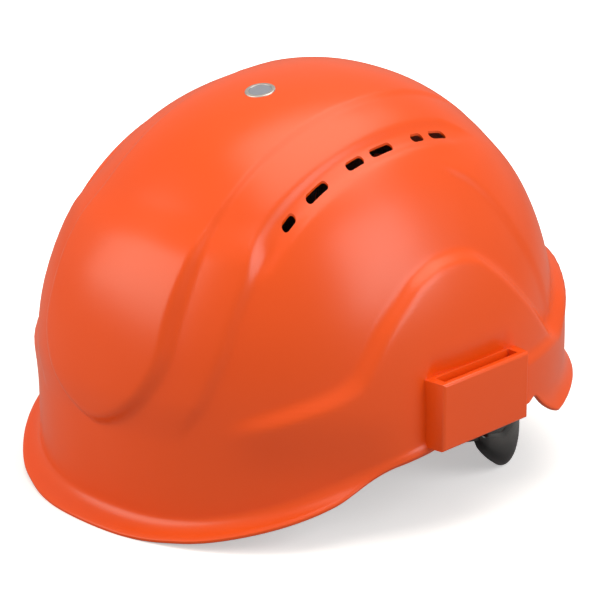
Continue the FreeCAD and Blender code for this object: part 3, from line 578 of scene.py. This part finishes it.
def shellRings():
    # rings run from the crown to the rim, round a rounded lip and back up the inside
    sizes = shellSizes
    even = np.linspace(-1, 1, sizes["columns"], endpoint=False)
    phi = np.pi * (even - sizes["crowding"] * np.sin(2 * np.pi * even))
    rows = np.concatenate([np.linspace(sizes["crownGap"], 1, sizes["domeRows"], endpoint=False),
                           np.linspace(1, 2, sizes["skirtRows"])])
    phiGrid, tGrid = np.meshgrid(phi, rows)
    base = shellBase(phiGrid, tGrid)
    outer = base + shellNormals(base) * shellRelief(base, phiGrid)[..., None]
    phiInner, tInner = np.meshgrid(phi, np.linspace(2, sizes["innerCrownGap"], sizes["innerRows"]))
    innerBase = shellBase(phiInner, tInner)
    push = rearSkirt(innerBase, phiInner) - sizes["wall"]
    inner = innerBase - shellNormals(innerBase) * push[..., None]
    middle = (outer[-1] + inner[0]) / 2
    across = (outer[-1] - inner[0]) / 2
    downward = outer[-1] - outer[-2]
    downward /= np.linalg.norm(downward, axis=-1, keepdims=True)
    half = np.linalg.norm(across, axis=-1, keepdims=True)
    turns = [math.pi * i / sizes["lipSteps"] for i in range(1, sizes["lipSteps"])]
    lip = [middle + across * math.cos(a) + downward * half * math.sin(a) for a in turns]
    return np.concatenate([outer, np.array(lip), inner])


def crownPoint(y):
    # height and slope of the crown line, as a matrix with +Z outwards
    sizes = shellSizes
    height = [sizes["shoulder"] + sizes["domeHeight"]
              * (1 - (abs(v) / sizes["frontReach"]) ** sizes["domePower"]) ** (1 / sizes["domePower"])
              for v in (y - 1, y, y + 1)]
    tilt = math.atan2(height[2] - height[0], 2)
    return Matrix.Translation((0, y, height[1])) @ Matrix.Rotation(tilt, 4, "X")


# the hole's depth is measured from the crown line, outwards
indicatorSizes = {"y": -31.3, "radius": 5.0, "corners": 32, "depth": (-12, 8)}


def ventCutter():
    # one tool for all the vents and the indicator's hole: upright rounded slots
    outlines = []
    r = ventSizes["width"] / 2
    for side in (-1, 1):
        for start, end in ventSizes["spans"]:
            outline = []
            for i in range(ventSizes["corners"]):
                a = math.tau * (i + 0.5) / ventSizes["corners"]
                centre = end - r if math.sin(a) > 0 else start + r
                outline.append((side * ventSizes["x"] + r * math.cos(a), centre + r * math.sin(a)))
            outlines.append([[(x, y, z) for x, y in outline] for z in ventSizes["reach"]])
    seat = crownPoint(indicatorSizes["y"])
    hole = ringPoints(indicatorSizes["radius"], indicatorSizes["corners"])
    outlines.append([[tuple(seat @ Vector((x, y, z))) for x, y in hole]
                     for z in indicatorSizes["depth"]])
    verts = []
    faces = []
    for low, high in outlines:
        start = len(verts)
        verts += low + high
        faces += tubeFaces(2, len(low), start)
    return makeObject("ventCutter", toStand(verts), faces, looks["shell_plastic"], None)


def buildShell():
    rings = shellRings()
    count, columns = rings.shape[:2]
    verts = list(toStand(rings.reshape(-1, 3)))
    faces = [(a, d, c, b) for a, b, c, d in gridFaces(count, columns)]
    for row in (0, count - 1):
        ring = row * columns
        verts.append(np.mean(verts[ring:ring + columns], axis=0))
        pole = len(verts) - 1
        for i in range(columns):
            j = (i + 1) % columns
            faces.append((pole, ring + i, ring + j) if row == 0 else (pole, ring + j, ring + i))
    piece = makeObject("helmetShell", verts, faces, looks["shell_plastic"], None)
    cutAway(piece, ventCutter(), sharpAngle=35)
    settle(piece, "shell")


print("shell")
buildShell()

# the webbing hangs from plan points inside the shell, each with its outward heading, 0 to the face
bandSizes = {"halfWidth": 78.5, "front": 99.0, "centreY": -6.0, "power": 2.3, "gap": 0.3, "points": 721}
stationSizes = {"frontAngle": 38.0, "anchorInset": 16.5, "wallGap": 1.5}
webbingSizes = {"width": 20.0, "thick": 1.3, "foot": 41.3, "inset": 12.5, "flat": 32.0, "step": 2.0,
                "top": 132.0, "layer": 1.5, "legPoints": 41, "corners": 24, "sidePower": 0.35,
                "facePower": 0.5, "selvedge": 0.25, "selvedgeWidth": (2.2, 1.2)}


def station(point, heading, inset):
    # inset: how far inside the wall the point lies
    wall = (point[0] + inset * math.sin(heading), point[1] - inset * math.cos(heading))
    return {"wall": wall, "heading": heading}


def inward(place, distance):
    return (place["wall"][0] - distance * math.sin(place["heading"]),
            place["wall"][1] + distance * math.cos(place["heading"]))


def findStations():
    # the front pair look square off the headband, and each rear one lies across the crown from one
    found = {}
    a, b, power = bandSizes["halfWidth"], bandSizes["front"], bandSizes["power"]
    phi = math.radians(stationSizes["frontAngle"])
    front = math.atan2(math.sin(phi) ** (power - 1) / a ** power,
                       math.cos(phi) ** (power - 1) / b ** power)
    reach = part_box("lug_side_left")[1][0] * 1000 + stationSizes["wallGap"]
    for side, sign in (("left", 1), ("right", -1)):
        point = toWorn(mounts["chin_strap_anchor_front_" + side]["pos_m"])
        found["front", side] = station(point, sign * front, stationSizes["anchorInset"])
        found["side", side] = station((sign * reach, 0), sign * math.pi / 2, 0)
        x, y = inward(found["front", side], webbingSizes["inset"])
        point = toWorn(mounts["chin_strap_anchor_rear_" + side]["pos_m"])
        rear = sign * (math.pi - math.atan2(abs(x), -y))
        found["rear", side] = station(point, rear, stationSizes["anchorInset"])
    return found


stations = findStations()
socketSizes = {"width": 20.0, "depth": 7.0, "low": 46.0, "height": 15.0, "pocketWidth": 12.4,
               "pocketThick": 3.4, "pocketHeight": 12.2, "pocketInset": 1.8, "belowPocket": 1,
               "buried": 0.6, "edge": 0.7}


def socketPoints(place, x, depth, z):
    # a block turned to face the station; depth is measured inwards from the wall
    h = place["heading"]
    corners = []
    for pz, d, px in itertools.product(z, depth, x):
        wx, wy = inward(place, d)
        corners.append((wx + px * math.cos(h), wy + px * math.sin(h), pz))
    return toStand(corners)


def buildSockets():
    # moulded pockets inside the shell that take the lugs' tongues
    sizes = socketSizes
    low = sizes["low"]
    half = sizes["width"] / 2
    body = ((-half, half), (sizes["depth"], -sizes["buried"]), (low, low + sizes["height"]))
    half = sizes["pocketWidth"] / 2
    pocket = ((-half, half), (sizes["pocketInset"] + sizes["pocketThick"], sizes["pocketInset"]),
              (low - sizes["belowPocket"], low + sizes["pocketHeight"]))
    for (place, side), stand in stations.items():
        piece = makeObject("lugSocket%s%s" % (place.capitalize(), side.capitalize()),
                           socketPoints(stand, *body), blockFaces, looks["shell_plastic"])
        cutAway(piece, makeObject("pocket", socketPoints(stand, *pocket), blockFaces,
                                  looks["shell_plastic"]))
        roundEdges(piece, sizes["edge"])
        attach(piece, "shell")


print("sockets")
buildSockets()
for side in ("left", "right"):
    softened("accessory_slot_" + side)
softened("indicator_bezel")
softened("indicator_disc")


def strapPath(front, rear, top):
    # a strap in its own upright plane: up from one lug, flat over the crown, down to the other
    sizes = webbingSizes
    fx, fy = inward(stations[front], sizes["inset"])
    rx, ry = inward(stations[rear], sizes["inset"])
    path = []
    for distance, direction in ((math.hypot(fx, fy), -1), (math.hypot(rx, ry), 1)):
        leg = []
        for i in range(sizes["legPoints"]):
            a = math.pi / 2 * i / (sizes["legPoints"] - 1)
            s = direction * (sizes["flat"] + (distance - sizes["flat"]) * math.cos(a))
            leg.append((s, sizes["foot"] + (top - sizes["foot"]) * math.sin(a)))
        path += leg if direction < 0 else leg[::-1]
    heading = math.atan2(fx, -fy)
    return np.array(path), (math.sin(heading), -math.cos(heading))


def buildStrap(node, front, rear, top):
    sizes = webbingSizes
    path, forward = strapPath(front, rear, top)
    points, along = resample(path, sizes["step"])
    s, z = points.T
    slope = np.stack([np.gradient(s), np.gradient(z)], -1)
    slope /= np.linalg.norm(slope, axis=1, keepdims=True)
    outline = []
    half = sizes["width"] / 2
    selvedge = [half - width for width in sizes["selvedgeWidth"]]
    for x, y in ringPoints(1, sizes["corners"]):
        across = half * math.copysign(abs(x) ** sizes["sidePower"], x)
        thick = 0.5 * sizes["thick"] * math.copysign(abs(y) ** sizes["facePower"], y)
        # a thicker selvedge along both edges
        thick *= 1 + sizes["selvedge"] * float(ease(*selvedge, abs(across)))
        outline.append((across, thick))
    verts = []
    uv = []
    for i in range(len(along)):
        for across, thick in outline:
            ps = s[i] - slope[i, 1] * thick
            pz = z[i] + slope[i, 0] * thick
            px = -forward[0] * ps + forward[1] * across
            py = -forward[1] * ps - forward[0] * across
            verts.append((px, py, pz))
            uv.append((along[i], across))
    faces = tubeFaces(len(along), len(outline))
    name = node.replace("_", " ").title().replace(" ", "")
    piece = makeObject(name, toStand(verts), faces, looks["webbing"], sharpAngle=60, uv=uv)
    settle(piece, node)


print("webbing")
for node, front, rear, level in (("webbing_left_front", ("front", "left"), ("rear", "right"), 0),
                                 ("webbing_right_front", ("front", "right"), ("rear", "left"), 1),
                                 ("webbing_side", ("side", "left"), ("side", "right"), 2)):
    buildStrap(node, front, rear, webbingSizes["top"] - level * webbingSizes["layer"])


def stitchTree():
    # stitches set end to end along a line; built once and used by every seam
    tree = bpy.data.node_groups.new("running stitch", "GeometryNodeTree")
    tree.interface.new_socket("Geometry", in_out="INPUT", socket_type="NodeSocketGeometry")
    for name in ("Pitch", "Stitch length", "Thread thickness"):
        tree.interface.new_socket(name, in_out="INPUT", socket_type="NodeSocketFloat")
    tree.interface.new_socket("Thread", in_out="INPUT", socket_type="NodeSocketMaterial")
    tree.interface.new_socket("Geometry", in_out="OUTPUT", socket_type="NodeSocketGeometry")
    given = addNode(tree, "NodeGroupInput")
    curve = addNode(tree, "GeometryNodeMeshToCurve", {}, {"Mesh": (given, "Geometry")})
    spaced = addNode(tree, "GeometryNodeResampleCurve", {"mode": "LENGTH"},
                     {"Curve": (curve, "Curve"), "Length": (given, "Pitch")})
    tangent = addNode(tree, "GeometryNodeInputTangent")
    turned = addNode(tree, "FunctionNodeAlignRotationToVector", {"axis": "X"},
                     {"Vector": (tangent, "Tangent")})
    bead = addNode(tree, "GeometryNodeMeshUVSphere", {"Segments": 8, "Rings": 5, "Radius": 0.5})
    size = addNode(tree, "ShaderNodeCombineXYZ", {}, {"X": (given, "Stitch length"),
                                                      "Y": (given, "Thread thickness"),
                                                      "Z": (given, "Thread thickness")})
    placed = addNode(tree, "GeometryNodeInstanceOnPoints", {},
                     {"Points": (spaced, "Curve"), "Instance": (bead, "Mesh"),
                      "Rotation": (turned, "Rotation"), "Scale": (size, "Vector")})
    real = addNode(tree, "GeometryNodeRealizeInstances", {}, {"Geometry": (placed, "Instances")})
    shown = addNode(tree, "GeometryNodeSetMaterial", {}, {"Geometry": (real, "Geometry"),
                                                          "Material": (given, "Thread")})
    addNode(tree, "NodeGroupOutput", {}, {"Geometry": (shown, "Geometry")})
    return tree


stitchNodes = stitchTree()
# in metres, by the names of the node group's inputs
stitchSizes = {"Pitch": 0.0032, "Stitch length": 0.0024, "Thread thickness": 0.0006,
               "Thread": looks["thread"]}


def stitchRow(name, body, points):
    # points: a line on the cloth, in worn millimetres
    mesh = bpy.data.meshes.new(name)
    mesh.from_pydata([tuple(p) for p in toStand(points)],
                     [(i, i + 1) for i in range(len(points) - 1)], [])
    piece = addObject(name, mesh)
    run = piece.modifiers.new("stitches", "NODES")
    run.node_group = stitchNodes
    for item in stitchNodes.interface.items_tree:
        if item.in_out == "INPUT" and item.name in stitchSizes:
            run[item.identifier] = stitchSizes[item.name]
    bake(piece, None)
    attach(piece, body)


print("lugs and hangers")
for place, side in stations:
    softened("lug_%s_%s" % (place, side))
    if place != "rear":
        softened("hanger_%s_%s" % (place, side))

tackSizes = {"rows": 7, "gap": 2.2, "halfLength": 7, "points": 12, "lift": 0.15}


def buildTacks():
    # bar tacks that sew the straps to each other over the crown
    sizes = tackSizes
    top = webbingSizes["top"] + webbingSizes["thick"] / 2 + sizes["lift"]
    for i in range(sizes["rows"]):
        y = (i - sizes["rows"] // 2) * sizes["gap"]
        xs = np.linspace(-sizes["halfLength"], sizes["halfLength"], sizes["points"])
        stitchRow("topTack%d" % (i + 1), "shell", [(x, y, top) for x in xs])


buildTacks()

# low and high are the pads' edges as worn, and quilt is the spacing of their seams
padSizes = {
    "sweatband": {"low": 6.2, "high": 33.8, "thick": 5.0, "quilt": 26.0, "seam": 3.0, "rear": -28.4},
    "nape": {"low": -14.8, "high": 3.3, "thick": 5.0, "quilt": 24.0, "seam": 2.6, "radius": 84.3,
             "span": 37.8, "points": 200},
    "crown": {"top": 128.1, "radius": 29.8, "thick": 5.0, "seam": 3.2, "quilt": 15.0, "columns": 96,
              "hub": 0.6, "rimWidths": (4.0, 3.6), "faceRings": 26, "rimRings": 10, "edgePower": 7,
              "grooveDip": 0.4, "ringDip": 0.28, "ringWidth": 1.4},
    "stitch": {"lift": 0.12, "fromEnd": 3, "points": 120, "turn": 6.25},  # turn in radians
}
# how the foam bulges between its seams
pillowSizes = {"step": 1.6, "rows": 29, "edgePower": 5, "grooveDip": 0.42, "grooveWidth": 0.9,
               "seamDip": 0.38, "seamWidth": 1.5, "endLength": 4, "endDrop": 0.96}


def bandLine(offset, rear):
    # plan line along the headband's inside, from the right ear round the forehead to the left ear
    phi = np.radians(np.linspace(-90, 90, bandSizes["points"]))
    s = np.sin(phi)
    c = np.cos(phi)
    a = bandSizes["halfWidth"] + offset
    b = bandSizes["front"] + offset
    power = bandSizes["power"]
    r = (np.abs(s / a) ** power + np.abs(c / b) ** power) ** (-1 / power)
    line = np.stack([r * s, bandSizes["centreY"] - r * c], -1)
    return line[line[:, 1] < rear]


def napeLine():
    # plan line along the cradle's inside, from the left to the right
    sizes = padSizes["nape"]
    a = np.radians(np.linspace(sizes["span"], -sizes["span"], sizes["points"]))
    return np.stack([sizes["radius"] * np.sin(a), napeCentre[1] + sizes["radius"] * np.cos(a)], -1)


def pillow(q, fromEnd, along, sizes, length):
    # thickness of a quilted foam pad: rounded edges, sewn margin, shallow seams across
    shape = pillowSizes
    edge = max(0.0, 1 - abs(q) ** shape["edgePower"]) ** 0.5
    half = (sizes["high"] - sizes["low"]) / 2
    fromSeam = abs(q) * half - (half - sizes["seam"])
    margin = 1 - shape["grooveDip"] * math.exp(-(fromSeam / shape["grooveWidth"]) ** 2)
    panels = max(1, round(length / sizes["quilt"]))
    phase = along / length * panels
    across = abs(phase - round(phase)) * sizes["quilt"]
    seam = 1
    if 0 < round(phase) < panels:
        seam = 1 - shape["seamDip"] * math.exp(-(across / shape["seamWidth"]) ** 2)
    end = min(1.0, fromEnd / shape["endLength"])
    return sizes["thick"] * edge * margin * seam * math.sqrt(1 - (1 - end) ** 2 * shape["endDrop"])


def padStrip(name, node, line, sizes):
    # line: plan points on the backing side, with the head on the left of its direction of travel
    points, along = resample(line, pillowSizes["step"])
    length = along[-1]
    travel = np.gradient(points, axis=0)
    travel /= np.linalg.norm(travel, axis=1, keepdims=True)
    towardsHead = np.stack([-travel[:, 1], travel[:, 0]], -1)
    face = np.sin(np.linspace(-math.pi / 2, math.pi / 2, pillowSizes["rows"]))
    back = face[::-1][1:-1]
    middle = (sizes["low"] + sizes["high"]) / 2
    half = (sizes["high"] - sizes["low"]) / 2
    verts = []
    uv = []
    for i in range(len(points)):
        fromEnd = min(along[i], length - along[i])
        for q in face:
            t = pillow(q, fromEnd, along[i], sizes, length)
            verts.append((*(points[i] + towardsHead[i] * t), middle + half * q))
            uv.append((along[i], half * q))
        for q in back:
            verts.append((*points[i], middle + half * q))
            uv.append((along[i], half * q))
    columns = len(face) + len(back)
    faces = tubeFaces(len(points), columns)
    piece = makeObject(name, toStand(verts), faces, looks["pad_fabric"], None, uv)
    settle(piece, node)
    stitch = padSizes["stitch"]
    for number, sign in ((1, -1), (2, 1)):
        q = sign * (half - sizes["seam"]) / half
        row = []
        for i in range(stitch["fromEnd"], len(points) - stitch["fromEnd"]):
            t = pillow(q, min(along[i], length - along[i]), along[i], sizes, length) + stitch["lift"]
            row.append((*(points[i] + towardsHead[i] * t), middle + half * q))
        stitchRow("%sSeam%d" % (name, number), frame["nodes"][node]["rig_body"], row)


def crownCushion():
    sizes = padSizes["crown"]
    stitch = padSizes["stitch"]
    sewn = sizes["radius"] - sizes["seam"]

    def depth(r):
        groove = sizes["grooveDip"] * math.exp(-((r - sewn) / pillowSizes["grooveWidth"]) ** 2)
        ring = sizes["ringDip"] * math.exp(-((r - sizes["quilt"]) / sizes["ringWidth"]) ** 2)
        edge = max(0.0, 1 - (r / sizes["radius"]) ** sizes["edgePower"]) ** 0.5
        return sizes["thick"] * edge * (1 - groove) * (1 - ring)

    inner, outer = [sizes["radius"] - width for width in sizes["rimWidths"]]
    radii = np.concatenate([np.linspace(sizes["hub"], inner, sizes["faceRings"]),
                            np.linspace(outer, sizes["radius"], sizes["rimRings"])])
    verts = []
    uv = []
    rings = [(r, sizes["top"] - depth(r)) for r in radii]
    rings += [(r, sizes["top"]) for r in radii[::-1][1:]]
    for r, z in rings:
        ring = ringPoints(r, sizes["columns"])
        verts += [(x, y, z) for x, y in ring]
        uv += ring
    faces = tubeFaces(len(rings), sizes["columns"])
    faces[-2:] = [tuple(reversed(cap)) for cap in faces[-2:]]
    piece = makeObject("TopPad", toStand(verts), faces, looks["pad_fabric"], None, uv)
    settle(piece, "crown_pad")
    level = sizes["top"] - depth(sewn) - stitch["lift"]
    seam = [(sewn * math.cos(a), sewn * math.sin(a), level)
            for a in np.linspace(0, stitch["turn"], stitch["points"])]
    stitchRow("topPadSeam", "shell", seam)


print("headband and pads")
softened("headband")
padStrip("Sweatband", "sweatband", bandLine(-bandSizes["gap"], padSizes["sweatband"]["rear"]),
         padSizes["sweatband"])
padStrip("NapePad", "nape_pad", napeLine(), padSizes["nape"])
crownCushion()

lobeSizes = {"radius": 86.4, "swell": 5.0, "buried": 0.6, "start": 42.5, "end": 84.0, "high": 2.3,
             "rise": 6.0, "riseY": (22, 44), "rows": 44, "columns": 25, "facePower": 3,
             "startEase": 0.2, "endEase": 0.08, "endDrop": 0.97,
             "outline": ((20, 6), (24, 0), (31, -7), (40, -13.8), (48, -18.6), (52, -19.6), (57, -19.9),
                         (62, -18.8), (68, -16.8), (76, -14.2), (86, -14))}


def buildLobe(side):
    # glossy moulded swelling over each lobe of the cradle
    sizes = lobeSizes
    sign = 1 if side == "left" else -1
    face = np.sin(np.linspace(-math.pi / 2, math.pi / 2, sizes["columns"]))
    verts = []
    for i in range(sizes["rows"]):
        f = i / (sizes["rows"] - 1)
        a = math.radians(sizes["start"] + (sizes["end"] - sizes["start"]) * f)
        y = napeCentre[1] + sizes["radius"] * math.cos(a)
        low = float(smoothLine(sizes["outline"], y))
        high = sizes["high"] + sizes["rise"] * (1 - float(ease(*sizes["riseY"], y)))
        end = min(1.0, f / sizes["startEase"], (1 - f) / sizes["endEase"])
        tall = sizes["swell"] * math.sqrt(1 - (1 - end) ** 2 * sizes["endDrop"])
        outer = [(q, tall * math.sqrt(max(0.0, 1 - abs(q) ** sizes["facePower"]))) for q in face]
        for q, swell in outer + [(q, -sizes["buried"]) for q in face[::-1][1:-1]]:
            r = sizes["radius"] + swell
            z = (low + high) / 2 + (high - low) / 2 * q
            verts.append((sign * r * math.sin(a), napeCentre[1] + r * math.cos(a), z))
    columns = 2 * sizes["columns"] - 2
    faces = tubeFaces(sizes["rows"], columns)
    if sign < 0:
        faces = [tuple(reversed(f)) for f in faces]
    piece = makeObject("NapeLobe" + side.capitalize(), toStand(verts), faces, looks["nape_plastic"],
                       sharpAngle=60)
    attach(piece, "nape")


print("nape cradle")
softened("nape_cradle")
for side in ("left", "right"):
    buildLobe(side)
    softened("nape_arm_" + side)
    softened("pivot_pin_" + side)
for node in ("ratchet_cover", "size_knob", "cover_screws", "knob_screw", "detent_spring", "pinion"):
    softened(node)

cameraSizes = {"azimuth": 44.993, "elevation": 21.476, "distance": 1572.784, "target": (0, 0, 70.0),
               "focal": 203.084, "aside": 4.314, "down": -13.020}
# in metres and watts; every lamp looks at a point inside the helmet
lampAim = (0, 0, 0.09)
lamps = {
    "leftBox": {"place": (-0.75, -1.5, 1.0), "size": (1.8, 1.3), "power": 20, "color": "#FFF3E6"},
    "rightBox": {"place": (1.5, 0.45, 0.95), "size": (1.0, 1.2), "power": 12, "color": "#FFFFFF"},
    "topBox": {"place": (0.1, 0.25, 1.5), "size": (1.3, 1.3), "power": 13, "color": "#FFF6EC"},
}
# near the helmet the paper's glow is dimmed, which paints shade round the helmet over its real shadow,
# and farther off it glows to plain white; in metres
floorSizes = {"width": 14, "near": 0.16, "far": 0.5, "nearPaintedShadeGlow": 0.45, "bounce": "#A8A8A8",
              "seen": "#F6F6F6"}


def makeCamera():
    sizes = cameraSizes
    azimuth = math.radians(sizes["azimuth"])
    elevation = math.radians(sizes["elevation"])
    back = Vector((math.sin(azimuth) * math.cos(elevation),
                   -math.cos(azimuth) * math.cos(elevation), math.sin(elevation)))
    right = Vector((math.cos(azimuth), math.sin(azimuth), 0))
    up = back.cross(right)
    place = Vector(sizes["target"]) + back * sizes["distance"]
    place = place - right * sizes["aside"] + up * sizes["down"]
    data = bpy.data.cameras.new("camera")
    data.sensor_width = 36
    data.lens = sizes["focal"]
    data.clip_start = 0.05
    camera = addObject("camera", data)
    turn = standTurn @ Matrix((right, up, back)).transposed()
    camera.matrix_world = Matrix.Translation(Vector(toStand(place))) @ turn.to_4x4()
    scene.camera = camera


def addLamp(name, lamp):
    data = bpy.data.lights.new(name, "AREA")
    data.shape = "RECTANGLE"
    data.size, data.size_y = lamp["size"]
    data.energy = lamp["power"]
    data.color = hexColor(lamp["color"])[:3]
    piece = addObject(name, data)
    piece.location = lamp["place"]
    piece.rotation_euler = (Vector(lamp["place"]) - Vector(lampAim)).to_track_quat("Z", "Y").to_euler()


def makeFloor():
    # matt paper with no highlight: it darkens where the helmet shades it, and its glow is dimmed near
    # the helmet as painted shade
    bpy.ops.mesh.primitive_plane_add(size=floorSizes["width"])
    floor = bpy.context.object
    floor.name = "floor"
    material, tree, shader = newMaterial("matt white paper with painted shade round the helmet", 1.5, 0.9)
    shader.inputs["Specular IOR Level"].default_value = 0.0
    shader.inputs["Emission Color"].default_value = (1, 1, 1, 1)
    rays = addNode(tree, "ShaderNodeLightPath")
    paper = addNode(tree, "ShaderNodeMix",
                    {"data_type": "RGBA", 6: hexColor(floorSizes["bounce"]),
                     7: hexColor(floorSizes["seen"])},
                    {0: (rays, "Is Camera Ray")})
    feed(shader, "Base Color", paper, 2)
    place = addNode(tree, "ShaderNodeTexCoord")
    away = addNode(tree, "ShaderNodeVectorMath", {"operation": "LENGTH"}, {0: (place, "Object")})
    # painted shade: the glow is weakest near the helmet, so the paper is darker round it
    lift = addNode(tree, "ShaderNodeMapRange",
                   {"From Min": floorSizes["near"], "From Max": floorSizes["far"],
                    "To Min": floorSizes["nearPaintedShadeGlow"], "To Max": 1.0}, {"Value": (away, "Value")})
    glowWithPaintedShade = addNode(tree, "ShaderNodeMath", {"operation": "MULTIPLY"},
                   {0: (lift, "Result"), 1: (rays, "Is Camera Ray")})
    feed(shader, "Emission Strength", glowWithPaintedShade, "Value")
    floor.data.materials.append(material)


def makeWorld():
    # the camera sees white, while the helmet is lit by a dimmer, warmer room
    world = bpy.data.worlds.new("studio")
    scene.world = world
    world.use_nodes = True
    tree = world.node_tree
    tree.nodes.clear()
    rays = addNode(tree, "ShaderNodeLightPath")
    room = addNode(tree, "ShaderNodeBackground", {"Color": hexColor("#F4F0EA"), "Strength": 0.46})
    seen = addNode(tree, "ShaderNodeBackground", {"Color": (1, 1, 1, 1)})
    mixed = addNode(tree, "ShaderNodeMixShader", {},
                    {0: (rays, "Is Camera Ray"), 1: (room, 0), 2: (seen, 0)})
    addNode(tree, "ShaderNodeOutputWorld", {}, {"Surface": (mixed, 0)})


print("stage")
makeFloor()
makeWorld()
for name, lamp in lamps.items():
    addLamp(name, lamp)
makeCamera()
scene.view_settings.view_transform = "Standard"
